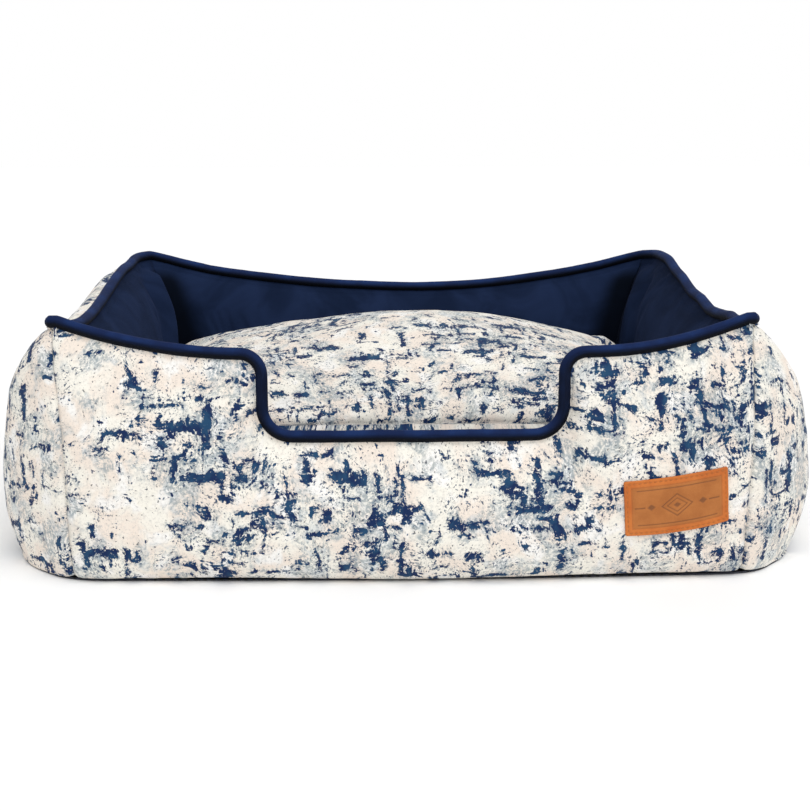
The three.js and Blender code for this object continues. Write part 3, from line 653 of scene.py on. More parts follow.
def printed_cloth():
    """A dry-brush print in navy over greyed cream cloth."""
    n = Nodes("printed_cloth")
    u0, v0 = n.cloth()
    flat = n.vector(u0, v0)
    u = u0 + (n.noise(flat, 1 / 38, 2.0) - 0.5) * 14.0
    v = v0 + (n.noise(n.shifted(flat, 41.0), 1 / 38, 2.0) - 0.5) * 14.0
    here = n.vector(u, v)
    # Navy: strokes of two sizes in both directions, and blots, where a distance is below 0.
    large = n.noise(flat, 1 / 105, 2.0) - 0.5
    rag = n.noise(here, 1 / 3.1, 3.0, 0.65) - 0.5
    wave = n.noise(here, 1 / 9.5, 2.0) - 0.5
    edge = rag * 10.0 + wave * 8.0
    often = 0.36 + large * 1.2
    layers = [
        strokes(n, u, v, 1.0, 58.0, 21.0, 0.8, 3.8, often, edge),
        strokes(n, v, u, 2.0, 56.0, 23.0, 0.8, 3.6, often, edge),
        strokes(n, u, v, 3.0, 26.0, 13.0, 0.5, 3.0, often - 0.06, edge),
        strokes(n, v, u, 4.0, 26.0, 14.0, 0.5, 2.8, often - 0.06, edge),
    ]
    blot = n.noise(n.shifted(here, 7.0), 1 / 15, 2.0, 0.5)
    comb = (n.noise(n.vector(u * 0.07, v * 0.42), 1.0, 2.0) - 0.5) * 0.3
    teeth = (n.noise(n.vector(u * 0.42, v * 0.07), 1.0, 2.0) - 0.5) * 0.3
    ragged = blot + (comb + teeth) + (rag * 0.26 + large * 0.34)
    layers.append((0.684 - ragged) * 60.0)
    inked = layers[0]
    for layer in layers[1:]:
        inked = n.math("MINIMUM", inked, layer)
    navy = n.step(inked, -0.4, 0.3, 1.0, 0.0)
    grain = n.noise(n.shifted(here, 3.0), 0.36, 2.0, 0.65)
    fringe = n.step(inked, 0.3, 4.2, 1.0, 0.0) * n.step(grain, 0.49, 0.57)
    smoke = n.step(n.noise(n.shifted(here, 13.0), 1 / 30, 3.0, 0.6) + large * 0.4, 0.46, 0.62)
    speck = n.noise(n.shifted(here, 91.0), 0.33, 2.0, 0.6) + smoke * 0.08
    speck = n.step(speck, 0.685, 0.725)
    dry = n.step(grain, 0.26, 0.34)
    navy = navy * (0.35 + dry * 0.65)
    # Grey-blue haze and wash, then dust and specks, between and round the strokes.
    haze_bars = brush(n, u, v, 8.0, 3.0, 24.0, 46.0, 0.5, 0.06, 0.4)
    haze_posts = brush(n, v, u, 9.0, 3.2, 24.0, 40.0, 0.52, 0.06, 0.4)
    haze = n.math("MAXIMUM", haze_bars, haze_posts)
    patch = n.step(n.noise(n.shifted(flat, 57.0), 1 / 40, 3.0, 0.6) + large * 0.3, 0.47, 0.58)
    haze = haze * n.step(n.noise(here, 0.3, 3.0, 0.7), 0.36, 0.6)
    haze = haze * (0.06 + patch * 0.94)
    wash = patch * n.step(n.noise(n.shifted(here, 61.0), 1 / 14, 3.0, 0.6), 0.42, 0.66)
    dust = n.step(n.noise(n.shifted(here, 23.0), 0.4, 2.0, 0.7), 0.6, 0.7) * (0.1 + smoke * 0.8)
    # The bare cloth: cream with a faint blush, and greyer threads and slubs.
    mottle = n.noise(here, 1 / 34, 3.0)
    weft = n.noise(n.shifted(here, 77.0), 0.22, 3.0, 0.7)
    base = n.mix(n.step(mottle, 0.38, 0.62), colour(247, 243, 232), colour(243, 230, 217))
    base = n.mix(n.step(n.noise(n.shifted(here, 31.0), 1 / 26, 3.0), 0.52, 0.7), base, colour(250, 248, 244))
    base = n.mix(n.step(weft, 0.5, 0.72) * 0.34, base, colour(214, 210, 202))
    slub = n.noise(n.shifted(flat, 83.0), 0.42, 2.0, 0.6)
    base = n.mix(n.step(slub, 0.54, 0.66) * 0.34, base, colour(200, 194, 188))
    grey = n.mix(n.noise(here, 0.05, 2.0), colour(132, 150, 164), colour(170, 174, 170))
    ink = n.mix(n.step(n.noise(here, 0.1, 3.0), 0.35, 0.7), colour(20, 42, 84), colour(34, 72, 106))
    shade = n.mix(wash * 0.5, base, colour(196, 206, 212))
    shade = n.mix(haze * 0.85, shade, grey)
    shade = n.mix(dust, shade, colour(104, 112, 120))
    shade = n.mix(fringe * 0.62, shade, colour(92, 116, 136))
    shade = n.mix(speck * 0.9, shade, n.mix(smoke, colour(84, 88, 92), colour(38, 66, 98)))
    n.set(Base_Color=n.mix(navy, shade, ink), Roughness=0.85)
    n.set(Sheen_Weight=0.05, Sheen_Roughness=0.5, Specular_IOR_Level=0.2)
    n.bump(weave_height(n, u0, v0, 1.1), 0.0004, 0.5)
    return n.material


def velvet():
    n = Nodes("velvet")
    u, v = n.cloth()
    here = n.vector(u, v)
    nap = n.noise(here, 1 / 60, 3.0, 0.55, distortion=0.6)
    fine = n.noise(here, 1.4, 2.0)
    deep = n.mix(n.step(nap, 0.3, 0.7), colour(21, 33, 58), colour(31, 45, 76))
    pile = n.mix(fine * 0.35, deep, colour(12, 20, 40))
    # Painted shade: the attribute mixed in here darkens the pile to near black in the linings' back corners,
    # and a little over the whole right lining.
    n.set(Base_Color=n.mix(n.attribute("painted_shade"), pile, colour(3, 6, 12)), Roughness=0.9)
    n.set(Sheen_Weight=0.07, Sheen_Roughness=0.3, Specular_IOR_Level=0.04)
    n.set(Sheen_Tint=colour(120, 140, 200))
    n.bump(fine + nap * 0.6, 0.0006, 0.5)
    return n.material


def piping_cloth():
    n = Nodes("piping_cloth")
    u, v = n.cloth()
    twill = n.math("SINE", (u + v) * (2 * math.pi / 1.3))
    fine = n.noise(n.vector(u, v), 1.1, 2.0)
    worn = n.noise(n.vector(u, v), 1 / 30, 3.0)
    blue = n.mix(n.step(worn, 0.35, 0.7), colour(16, 36, 80), colour(23, 50, 102))
    blue = n.mix(fine * 0.4, blue, colour(6, 13, 36))
    # Painted shade: where the tube's normal faces down its colour goes to near black, and where it faces up
    # it keeps the lighter blue.
    n.set(Base_Color=n.mix(n.step(n.facing_up(), -0.35, 0.75), colour(3, 7, 18), blue), Roughness=0.7)
    n.set(Sheen_Weight=0.03, Sheen_Roughness=0.35, Specular_IOR_Level=0.12)
    n.set(Sheen_Tint=colour(110, 140, 210))
    n.bump(twill * 0.3 + fine, 0.0003, 0.6)
    return n.material


def base_cloth():
    """Dark non-slip cloth: rows of small rubber dots, and a line of stitches round its hem."""
    n = Nodes("base_cloth")
    u, v = n.cloth()
    here = n.vector(u, v)
    rows = n.math("SINE", u * (math.pi / 7)) * n.math("SINE", v * (math.pi / 7))
    dots = n.step(n.math("ABSOLUTE", rows), 0.7, 0.78)
    hem = n.math("ABSOLUTE", n.attribute("hem") - 9.0)
    dash = n.step(n.math("SINE", (u + v) * (2 * math.pi / 5)), -0.5, -0.3)
    stitch = n.step(hem, 0.4, 0.7, 1.0, 0.0) * dash
    worn = n.step(n.noise(here, 1 / 90, 3.0), 0.4, 0.7)
    cloth = n.mix(n.noise(here, 0.6, 3.0), colour(40, 44, 58), colour(64, 68, 82))
    cloth = n.mix(worn * 0.35, cloth, colour(88, 88, 92))
    cloth = n.mix(dots, cloth, colour(15, 16, 20))
    n.set(Base_Color=n.mix(stitch, cloth, colour(120, 122, 130)))
    n.set(Roughness=0.9 + dots * -0.45)
    relief = dots * 1.2 + weave_height(n, u, v, 1.0) * 0.4
    n.bump(relief + n.step(hem, 0.3, 2.2) * 0.8, 0.0006, 0.7)
    return n.material


def leather():
    n = Nodes("leather")
    here = n.position()
    press = n.attribute("press")
    rim = n.attribute("rim")
    pores = n.pores(here, 900.0)
    tone = n.noise(here, 55.0, 4.0, 0.6, flat=False)
    fine = n.noise(here, 700.0, 2.0, 0.6, flat=False)
    field = n.mix(n.step(tone, 0.3, 0.7), colour(172, 104, 50), colour(188, 118, 60))
    edge = n.mix(n.step(tone, 0.3, 0.7), colour(196, 104, 42), colour(212, 122, 54))
    tan = n.mix(rim, field, edge)
    tan = n.mix(fine * 0.25, tan, colour(150, 84, 38))
    n.set(Base_Color=n.mix(press * 0.72, tan, colour(112, 70, 44)))
    n.set(Roughness=0.52 + fine * 0.2, Specular_IOR_Level=0.3)
    n.bump(pores + fine * 0.5, 0.0003, 0.35)
    return n.material


def thread(name, light, dark):
    n = Nodes(name)
    here = n.position()
    ply = n.noise(here, 2600.0, 2.0, flat=False)
    n.set(Base_Color=n.mix(ply, dark, light), Roughness=0.6, Specular_IOR_Level=0.3)
    n.bump(ply, 0.0002, 0.6)
    return n.material


def zip_tape():
    n = Nodes("zip_tape")
    u, v = n.cloth()
    rib = n.math("ABSOLUTE", n.math("FRACT", v * (1 / 2.4)) - 0.5)
    bone = n.math("SINE", (u + rib * 4.0) * (2 * math.pi / 0.9))
    fine = n.noise(n.vector(u, v), 1.2, 2.0)
    n.set(Base_Color=n.mix(bone * 0.2 + fine * 0.6, colour(16, 28, 60), colour(34, 52, 96)))
    n.set(Roughness=0.85, Specular_IOR_Level=0.2)
    n.bump(bone * 0.4 + fine, 0.0003, 0.6)
    return n.material


def zip_coil():
    n = Nodes("zip_coil")
    here = n.position()
    worn = n.noise(here, 260.0, 2.0, flat=False)
    n.set(Base_Color=n.mix(worn, colour(24, 36, 72), colour(46, 62, 108)), Specular_IOR_Level=0.5)
    n.set(Roughness=0.28 + worn * 0.2)
    n.bump(worn, 0.0001, 0.3)
    return n.material


def satin_metal():
    n = Nodes("satin_metal")
    here = n.position()
    brushed = n.noise(here, 1200.0, 3.0, 0.6, flat=False)
    wear = n.noise(here, 140.0, 3.0, flat=False)
    n.set(Base_Color=n.mix(wear, colour(150, 152, 156), colour(196, 198, 202)), Metallic=1.0)
    n.set(Roughness=0.24 + brushed * 0.22)
    n.bump(brushed, 0.00005, 0.4)
    return n.material


def satin_ribbon():
    n = Nodes("satin_ribbon")
    u, v = n.cloth()
    warp = n.noise(n.vector(u * 4.0, v * 0.4), 1.0, 2.0)
    soil = n.noise(n.vector(u, v), 0.08, 3.0)
    white = n.mix(n.step(soil, 0.3, 0.7), colour(244, 243, 238), colour(232, 230, 222))
    white = n.mix(warp * 0.3, white, colour(208, 207, 200))
    selvedge = n.step(n.math("ABSOLUTE", v), 9.5, 9.9)
    ribs = n.step(n.math("SINE", u * (2 * math.pi / 0.8)), -0.4, 0.4)
    n.set(Base_Color=n.mix(selvedge * (0.2 + ribs * 0.3), white, colour(186, 190, 200)))
    n.set(Roughness=0.42 + selvedge * 0.25)
    n.bump(warp + selvedge * (ribs * 2.0), 0.0002, 0.6)
    return n.material


PRINT = printed_cloth()
VELVET = velvet()
PIPING = piping_cloth()
BASE = base_cloth()
LEATHER = leather()
TAPE, COIL, METAL, RIBBON = zip_tape(), zip_coil(), satin_metal(), satin_ribbon()
LABEL_THREAD = thread("label_thread", colour(206, 128, 66), colour(160, 92, 42))
NAVY_THREAD = thread("navy_thread", colour(44, 64, 112), colour(20, 32, 68))
CREAM_THREAD = thread("cream_thread", colour(240, 234, 222), colour(206, 198, 184))

# ------------------------------------------------------------------ outer panels

ROWS = 78
ZIP_HEIGHT = 34


def crease(u, v, start, end, width, depth):
    """A soft fold in cloth between two places, with a slight rise on both sides."""
    (u0, v0), (u1, v1) = start, end
    du, dv = u1 - u0, v1 - v0
    t = np.clip(((u - u0) * du + (v - v0) * dv) / (du * du + dv * dv), 0, 1)
    d = np.hypot(u - u0 - t * du, v - v0 - t * dv) / width
    fade = np.sin(math.pi * np.clip(t * 0.9 + 0.05, 0, 1)) ** 0.7
    return depth * fade * (-np.exp(-d * d) + 0.45 * np.exp(-((d - 1.9) ** 2)))


def column_at_x(face, side_start, side_end, target):
    """For each row, the column between two where x is as given, on the front wall."""
    columns = np.arange(side_start, side_end + 1)
    xs = face[:, columns % COLUMNS, 0]
    return np.array([np.interp(x, row, columns) for x, row in zip(target, xs)])


def build_outer_panels():
    face = wall_face(OUTER_RINGS, 1, ROWS)
    normals = grid_normals(face, True)
    # The front's two corner seams lean outwards, and stand where the photograph shows them.
    up = rows_of(ROWS)
    beyond, before = 40, 80
    left_x, right_x = -(290 + 8 * up), 282 + 17 * up**2
    front_start = column_at_x(face, START["front"] - beyond, START["front"] + before, left_x)
    front_end = column_at_x(face, START["right"] - before, START["right"] + beyond, right_x)
    bounds = {
        "front": (front_start, front_end),
        "right": (front_end, np.full(ROWS, START["back"])),
        "back": (np.full(ROWS, START["back"]), np.full(ROWS, START["left"])),
        "left": (np.full(ROWS, START["left"]), front_start + COLUMNS),
    }
    made = {}
    for index, side in enumerate(SIDES):
        low, high = bounds[side]
        natural = np.arange(START[side], STARTS[index + 1] + 1)
        q = (natural - natural[0]) / (natural[-1] - natural[0])
        where = low[:, None] + (high - low)[:, None] * q[None]
        points, out = at_columns(face, where), at_columns(normals, where)
        out /= np.linalg.norm(out, axis=-1, keepdims=True)
        along = lengths(points, 1)
        height = lengths(points, 0)
        to_top = height[-1:] - height
        bulge = 2.2 * noise(points, 95, 11) + 1.1 * noise(points, 44, 12) + 0.35 * noise(points, 19, 13)
        ends = np.minimum(along, along[:, -1:] - along)
        calm = np.clip(ends / 30, 0, 1) * np.clip(to_top / 18, 0.15, 1) * np.clip(height / 30, 0, 1)
        move = bulge * calm
        seam_noise = noise(np.stack([height, 0 * height, points[..., 0] * 0.02], -1), 11, 21)
        move += -2.4 * np.exp(-ends / 3.0) + 0.9 * seam_noise * np.exp(-ends / 16)
        pucker = noise(np.stack([along, to_top * 0.12, 0 * along], -1), 9, 31 + index)
        gather = np.clip(0.55 + 0.8 * noise_along(along, 60, 41 + index), 0, 1)
        move += 1.1 * pucker * gather * np.exp(-to_top / 15) - 0.9 * np.exp(-to_top / 4)
        move += 0.5 * noise(np.stack([along, height * 0.2, 0 * along], -1), 12, 51) * np.exp(-height / 18)
        if side == "front":
            move += front_creases(along - along[:, -1:] / 2, points[..., 2])
        if side == "back":
            # The cloth under the zip keeps to its pattern.
            under_zip = np.clip((BOLSTER_ZIP_LENGTH / 2 + 25 - np.abs(points[..., 0])) / 15, 0, 1)
            under_zip *= np.clip((26 - np.abs(height - ZIP_HEIGHT)) / 12, 0, 1)
            move *= 1 - under_zip
        points = points + out * move[..., None]
        points[..., 2] = np.maximum(points[..., 2], 0.25)
        points = settle(points)
        shown = grid_normals(points, False)
        points, shown = with_tuck(points, shown, where[-1], 1)
        uv = print_map(points, side)
        made[side] = shell(f"{side}_panel", points, shown, FABRIC * 0.8, uv + (index * 1.7, index * 0.9))
    return made


def with_tuck(points, normals, where, sign):
    """A face and its normals with two more rows, which carry its top edge in under the piping."""
    columns = np.round(where).astype(int) % COLUMNS
    seam, into, outward = SEAM_POINTS[columns], SEAM_INTO[columns], SEAM_OUT[columns]
    first = settle(seam + into * 4.6 + outward * sign * 2.6)
    second = settle(seam + into * 3.0 + outward * sign * 1.4)
    points = np.concatenate([points, [points[-1] * 0.35 + first * 0.65, second]])
    return points, np.concatenate([normals, normals[-1:], normals[-1:]])


def front_creases(middle, z):
    """Folds that run from the doorway's corners and the wall's corners."""
    folds = [
        ((124, 118), (158, 78), 7, 1.6),
        ((106, 108), (120, 62), 6, 1.2),
        ((140, 150), (176, 128), 6, 1.3),
        ((288, 40), (236, 22), 8, 1.8),
        ((292, 70), (258, 60), 6, 1.2),
        ((290, 175), (262, 140), 6, 1.3),
    ]
    return sum(crease(middle * sign, z, *fold) for sign in (-1, 1) for fold in folds)


def print_map(points, side):
    """Cloth coordinates in metres: the way round the wall, and the way up its section. The front
    wall's is taken from its middle, so that the print runs on evenly past the doorway."""
    lower, upper = OUTER_RINGS[1:]
    part, at, _, _ = STATIONS[side]
    along, out, _ = plan(side, {k: (lower[k] + upper[k]) / 2 for k in lower}, part, at)
    line = place(side, along, out, 0)[:, :2]
    s = lengths(line, 0)
    flat = points.reshape(-1, 3)[:, :2]
    nearest = np.concatenate(
        [
            ((some[:, None] - line[None]) ** 2).sum(-1).argmin(1)
            for some in np.array_split(flat, len(flat) // 4000 + 1)
        ]
    )
    tangent = np.gradient(line, axis=0)
    tangent /= np.linalg.norm(tangent, axis=1)[:, None]
    u = s[nearest] - s[-1] / 2 + ((flat - line[nearest]) * tangent[nearest]).sum(1)
    v = lengths(points, 0).ravel()
    if side == "front":
        heights = [0, lower["z"] * SEAM_HEIGHT, upper["z"] * SEAM_HEIGHT, SEAM_HEIGHT - 6]
        outs = [ring["y"] + ring["front_bow"] for ring in OUTER_RINGS] + [SEAM["y"] + FRONT_BOW + 3]
        section = cubic(np.stack([heights, outs], -1), np.linspace(0, 1, 200)[:, None])
        v = np.interp(points[..., 2].ravel(), section[:, 0], lengths(section, 0))
    return (np.stack([u, v], -1) * MM).reshape(points.shape[:2] + (2,))


# ------------------------------------------------------------------ linings


def build_linings():
    rows = 70
    face = wall_face(INNER_RINGS, -1, rows)
    normals = -grid_normals(face, True)
    made = {}
    for index, side in enumerate(SIDES):
        natural = np.arange(START[side], STARTS[index + 1] + 1)
        where = np.broadcast_to(natural.astype(float), (rows, len(natural)))
        points, out = at_columns(face, where), at_columns(normals, where)
        along = lengths(points, 1)
        height = lengths(points, 0)
        to_end = np.minimum(along, along[:, -1:] - along)
        to_top = height[-1:] - height
        calm = np.clip(to_top / 20, 0.1, 1) * np.clip(to_end / 22, 0, 1)
        move = calm * (1.6 * noise(points, 80, 61) + 1.0 * noise(points, 36, 62))
        lift = np.sin(math.pi * np.clip(to_top / 110, 0, 1)) * np.clip(to_end / 40, 0, 1) ** 0.7
        move += 4.5 * lift
        move -= 4.0 * np.exp(-to_end / 5) * np.clip(to_top / 14, 0, 1)
        fold = noise(np.stack([to_top, 0 * to_top, 0 * to_top], -1), 16, 71 + index)
        move += 1.4 * fold * np.exp(-to_end / 24)
        gather = noise(np.stack([along, to_top * 0.08, 0 * along], -1), 10, 81 + index)
        amount = np.clip(0.5 + 0.9 * noise_along(along, 70, 91 + index), 0, 1)
        move += 1.2 * gather * amount * np.exp(-to_top / 26)
        move -= np.exp(-((to_top - 7) ** 2) / 6)
        # Painted shade for the velvet's colour, from 0 to 1; it stays 0 unless set below.
        painted_shade = 0 * move
        below = ease(to_top, 4, 26)
        if side in ("left", "right"):
            # A soft roll of the side wall's lining stands in front of the back corner's hollow.
            corner = along if side == "left" else along[:, -1:] - along
            roll = 13 if side == "left" else 8
            move += roll * below * np.exp(-(((corner - 27) / 17) ** 2)) * (1 - 0.5 * ease(to_top, 70, 150))
            move -= 3.5 * below * np.exp(-(((corner - 58) / 13) ** 2))
            # Painted shade: the lining darkens below its top towards the back corner, and the whole right
            # lining a little.
            painted_shade = below * (1 - ease(corner, 3, 15))
            painted_shade = np.maximum(painted_shade, 0.2 if side == "right" else 0)
            move += crease(corner, to_top, (66, 20), (40, 74), 5, 1.4)
            move += crease(corner, to_top, (96, 46), (60, 92), 6, 1.2)
        if side == "back":
            move -= 7 * ease(to_top, 24, 84) * np.exp(-((to_end / 24) ** 2))
            # Painted shade: the back lining darkens below its top towards both back corners.
            painted_shade = below * (1 - ease(to_end, 14, 40)) * 0.9
            from_left = along[:, -1:] - along
            for place_at, lean in ((46, 4), (55, 3), (68, -3), (84, 5)):
                move += crease(from_left, to_top, (place_at, 52), (place_at + lean, 96), 3.6, 1.5)
                move += 0.7 * crease(along, to_top, (place_at, 58), (place_at - lean, 92), 4.0, 1.5)
        points = settle(points + out * move[..., None])
        points, shown = with_tuck(points, -grid_normals(points, False), where[-1], -1)
        uv = np.stack([along - along[:, -1:] / 2, height], -1)
        uv = np.concatenate([uv, uv[-1:] + (0, 3), uv[-1:] + (0, 6)]) * MM + (index * 1.3, 0)
        # Columns run the other way, so that the sheet's faces look into the bed.
        made[side] = shell(
            f"{side}_lining_panel", points[:, ::-1], shown[:, ::-1], FABRIC * 0.8, uv[:, ::-1]
        )
        painted_shade = np.concatenate([painted_shade, painted_shade[-1:], painted_shade[-1:]])[:, ::-1]
        give_values(made[side], "painted_shade", painted_shade)
    return made


# ------------------------------------------------------------------ piping


def round_ends(count, radius, steps=7):
    """Radii that close both ends of a tube to a blunt, rounded end."""
    r = np.full(count, float(radius))
    for i in range(steps):
        r[[i, -1 - i]] *= math.sqrt(max(1 - ((steps - i) / steps) ** 2.4, 0.02))
    return r


def resample(path, spacing):
    s = lengths(path, 0)
    t = np.linspace(0, s[-1], round(s[-1] / spacing) + 1)
    return np.stack([np.interp(t, s, path[:, k]) for k in range(3)], -1)


def with_dense_ends(path, radius):
    """Adds close points at both ends for the rounded ends."""
    start, end = path[0], path[-1]
    a = (path[1] - start) / np.linalg.norm(path[1] - start)
    b = (path[-2] - end) / np.linalg.norm(path[-2] - end)
    steps = np.linspace(0, radius * 0.75, 8)[:-1, None]
    keep = path[4:-4]
    return np.concatenate([start + a * steps, keep, (end + b * steps)[::-1]])


def build_piping():
    front, _ = seam_points("front")
    front = front[CORNER_STEPS:-CORNER_STEPS]
    start = (-SEAM["x"] - 3, -SEAM["y"], SEAM_HEIGHT)
    end = (SEAM["x"] + 2, -SEAM["y"], SEAM_HEIGHT)
    front = np.concatenate([[start], front, [end]])
    sides = [seam_points(side)[0] for side in SIDES[1:]]
    rim = np.concatenate([sides[0][CORNER_STEPS + 1 :], sides[1][1:], sides[2][1 : -CORNER_STEPS - 1]])
    start_y = -SEAM["y"] + 3.0
    rim = np.concatenate([[(SEAM["x"], start_y, SEAM_HEIGHT)], rim, [(-SEAM["x"], start_y, SEAM_HEIGHT)]])
    made = []
    for name, path in (("front_piping", front), ("rim_piping", rim)):
        path = with_dense_ends(resample(path, 2.2), PIPING_RADIUS)
        s = lengths(path, 0)
        wander = np.stack([noise_along(s, 38, 101 + k) for k in range(3)], -1) * 0.5
        fade = np.clip(np.minimum(s, s[-1] - s) / 20, 0, 1)[:, None]
        path = settle(path + wander * fade)
        gathers = 0.025 * noise_along(s, 16, 111) + 0.02 * noise_along(s, 6, 112)
        made.append(tube(name, path, round_ends(len(path), PIPING_RADIUS + 0.1) * (1 + gathers)))
    return made


# ------------------------------------------------------------------ cushion

CUSHION = {"x": 254, "y": 210, "front": 60, "back": 60, "side_bow": 0, "front_bow": 0}
CUSHION_SEAM, CUSHION_TOP, CUSHION_FOOT = 116, 188, 4.5
HALF_SIZE = np.array([CUSHION["x"], CUSHION["y"]])
# How far in from the seam, and how high, the cushion's side runs down to its underside.
UNDERSIDE = np.array([[0, CUSHION_SEAM], [4, 50], [20, CUSHION_FOOT], [58, CUSHION_FOOT]])


def even_line(ring, straight):
    """A ring's closed line, with the same number of points along each side's straight stretch."""
    return ring_line(ring, dict.fromkeys(SIDES, with_corners(np.linspace(-1, 1, straight), 8)))


def cushion_profile():
    """(share of the plan, height) pairs from the middle of the top to the middle of the underside."""
    shares = np.array([0.12, 0.27, 0.42, 0.56, 0.68, 0.78, 0.86, 0.92, 0.96, 0.985, 1])
    above = zip(shares, CUSHION_SEAM + (CUSHION_TOP - CUSHION_SEAM) * (1 - shares**1.5) ** 0.625)
    inset, z = cubic(UNDERSIDE[:, :, None], np.linspace(0, 1, 12)[1:])
    below = zip(1 - inset / 230, z)
    return [*above, *below, (0.5, CUSHION_FOOT), (0.25, CUSHION_FOOT)]


def cushion_form(scale):
    outline = even_line(CUSHION, 24)
    count = len(outline)
    rings = []
    for share, z in cushion_profile():
        ring = outline * share
        ring[:, 2] = z
        rings.append(ring)
    points = np.concatenate([*rings, [[0, 0, CUSHION_TOP], [0, 0, CUSHION_FOOT]]])
    faces = [list(f) for f in grid_faces(len(rings), count, closed=True, flip=True)]
    tip = len(points) - 2
    faces += fan(0, count, tip) + fan(tip - count, count, tip + 1, flip=True)
    middle = (0, 0, CUSHION_SEAM)
    return (points - middle) * scale + middle, faces


def coordinates(obj):
    co = np.zeros(len(obj.data.vertices) * 3, np.float32)
    obj.data.vertices.foreach_get("co", co)
    return co.reshape(-1, 3).astype(float)


def set_coordinates(obj, co):
    obj.data.vertices.foreach_set("co", np.asarray(co, np.float32).ravel())
    obj.data.update()


def apply_modifiers(obj):
    """Replaces the object's mesh by what its modifiers make of it."""
    graph = bpy.context.evaluated_depsgraph_get()
    mesh = bpy.data.meshes.new_from_object(obj.evaluated_get(graph))
    obj.modifiers.clear()
    obj.data = mesh


def simulate(obj, pressure, frames, most, voxel):
    """Swells a closed mesh like stuffed cloth, with no point moving more than most metres."""
    remesh = obj.modifiers.new("remesh", "REMESH")
    remesh.mode = "VOXEL"
    remesh.voxel_size = voxel
    apply_modifiers(obj)
    start = coordinates(obj)
    cloth = obj.modifiers.new("cloth", "CLOTH")
    settings = cloth.settings
    settings.quality = 6
    settings.mass = 0.25
    settings.tension_stiffness = settings.compression_stiffness = 12
    settings.shear_stiffness = 4
    settings.bending_stiffness = 0.4
    settings.use_pressure = True
    settings.uniform_pressure_force = pressure
    settings.effector_weights.gravity = 0
    cloth.collision_settings.use_collision = False
    cloth.point_cache.frame_start, cloth.point_cache.frame_end = 1, frames
    scene = bpy.context.scene
    for number in range(1, frames + 1):
        scene.frame_set(number)
    apply_modifiers(obj)
    scene.frame_set(1)
    moved = coordinates(obj) - start
    length = np.linalg.norm(moved, axis=1, keepdims=True)
    limit = most * np.tanh(length / most)
    set_coordinates(obj, start + moved * limit / np.maximum(length, 1e-9))


def showing_face(sheet):
    """The front of a shell, without its rear and its border."""
    points = [vertex.co for vertex in sheet.data.vertices]
    faces = [p.vertices for p in sheet.data.polygons if max(p.vertices) < len(points) // 2]
    return BVHTree.FromPolygons(points, faces)


def give_way(co, linings):
    """The cushion's points, moved off the linings where these press it in."""
    gap, near = 0.3, 12
    for face in [showing_face(sheet) for sheet in linings]:
        for i, point in enumerate(co):
            here = Vector(to_frame(point))
            nearest, normal, _, _ = face.find_nearest(here, near * MM)
            if nearest is None:
                continue
            clear = (here - nearest).dot(normal) / MM
            if clear < gap:
                co[i] = point + np.array(normal) * (gap - clear)
    return co


def build_cushion(linings):
    points, faces = cushion_form(0.955)
    obj = new_object("cushion_form", points, faces)
    simulate(obj, 4.0, 20, 0.025, 0.006)
    sub = obj.modifiers.new("subdivision", "SUBSURF")
    sub.levels = sub.render_levels = 1
    apply_modifiers(obj)
    co = give_way(fit_cushion(coordinates(obj) / MM - ORIGIN), linings)
    set_coordinates(obj, to_frame(co))
    return split_cushion(obj)


def polar(co):
    """How far out on the cushion points are, 1 at its edge, and the angle that they lie at."""
    x, y = (co[:, :2] / HALF_SIZE).T
    return np.hypot(x, y), np.arctan2(y, x)


def fit_cushion(co):
    """Brings the swollen cushion back to its own size, then adds its seam and folds."""
    for k, half in enumerate(HALF_SIZE + 3):
        co[:, k] *= half / np.percentile(np.abs(co[:, k]), 99.9)
    z = co[:, 2]
    up = (CUSHION_TOP - 0.5 - CUSHION_SEAM) / (z.max() - CUSHION_SEAM)
    down = (CUSHION_SEAM - CUSHION_FOOT - 0.5) / (CUSHION_SEAM - z.min())
    co[:, 2] = CUSHION_SEAM + (z - CUSHION_SEAM) * np.where(z > CUSHION_SEAM, up, down)
    across, angle = polar(co)
    side = np.clip((across - 0.55) / 0.4, 0, 1)
    around = angle * HALF_SIZE.mean()
    near = np.abs(co[:, 2] - CUSHION_SEAM)
    radial = np.stack([np.cos(angle), np.sin(angle)], -1)
    pucker = noise(np.stack([around, near * 0.15, 0 * near], -1), 12, 121)
    move = side * (-5.0 * np.exp(-near / 6) + 2.4 * pucker * np.exp(-near / 24))
    co[:, :2] += radial * move[:, None]
    lumps = 2.0 * noise(co, 110, 131) + 1.0 * noise(co, 48, 132)
    co[:, 2] += lumps * np.clip((co[:, 2] - 120) / 40, 0, 1)
    co[:, 2] += np.interp(co[:, 0], *CUSHION_STRAY) * ease(co[:, 2], 118, 145)
    # Along its zip the cover keeps to its pattern.
    inset, height = cubic(UNDERSIDE[:, :, None], np.linspace(0, 1, 80))
    pattern = CUSHION["y"] - np.interp(co[:, 2], height[::-1], inset[::-1])
    keep = np.clip((230 - np.abs(co[:, 0])) / 20, 0, 1) * np.clip((co[:, 1] - 130) / 20, 0, 1)
    keep *= np.clip((62 - co[:, 2]) / 22, 0, 1) * np.clip((co[:, 2] - 5.2) / 3, 0, 1)
    co[:, 1] += (pattern - co[:, 1]) * keep
    return co


def cushion_map(co):
    """Cloth coordinates in metres, which follow the cloth down the cushion's sides."""
    top = co[:, 2] > CUSHION_SEAM
    drop = np.abs(np.where(top, CUSHION_TOP - co[:, 2], co[:, 2] - CUSHION_FOOT + 0.5))
    across, angle = polar(co)
    reach = drop * np.clip(np.clip(across - 0.4, 0, 1) * 2.2, 0, 1)
    # The print is drawn out along the bed.
    u, v = co[:, 0] + np.cos(angle) * reach, 0.66 * co[:, 1] + np.sin(angle) * reach
    return np.stack([u, v], -1) * MM


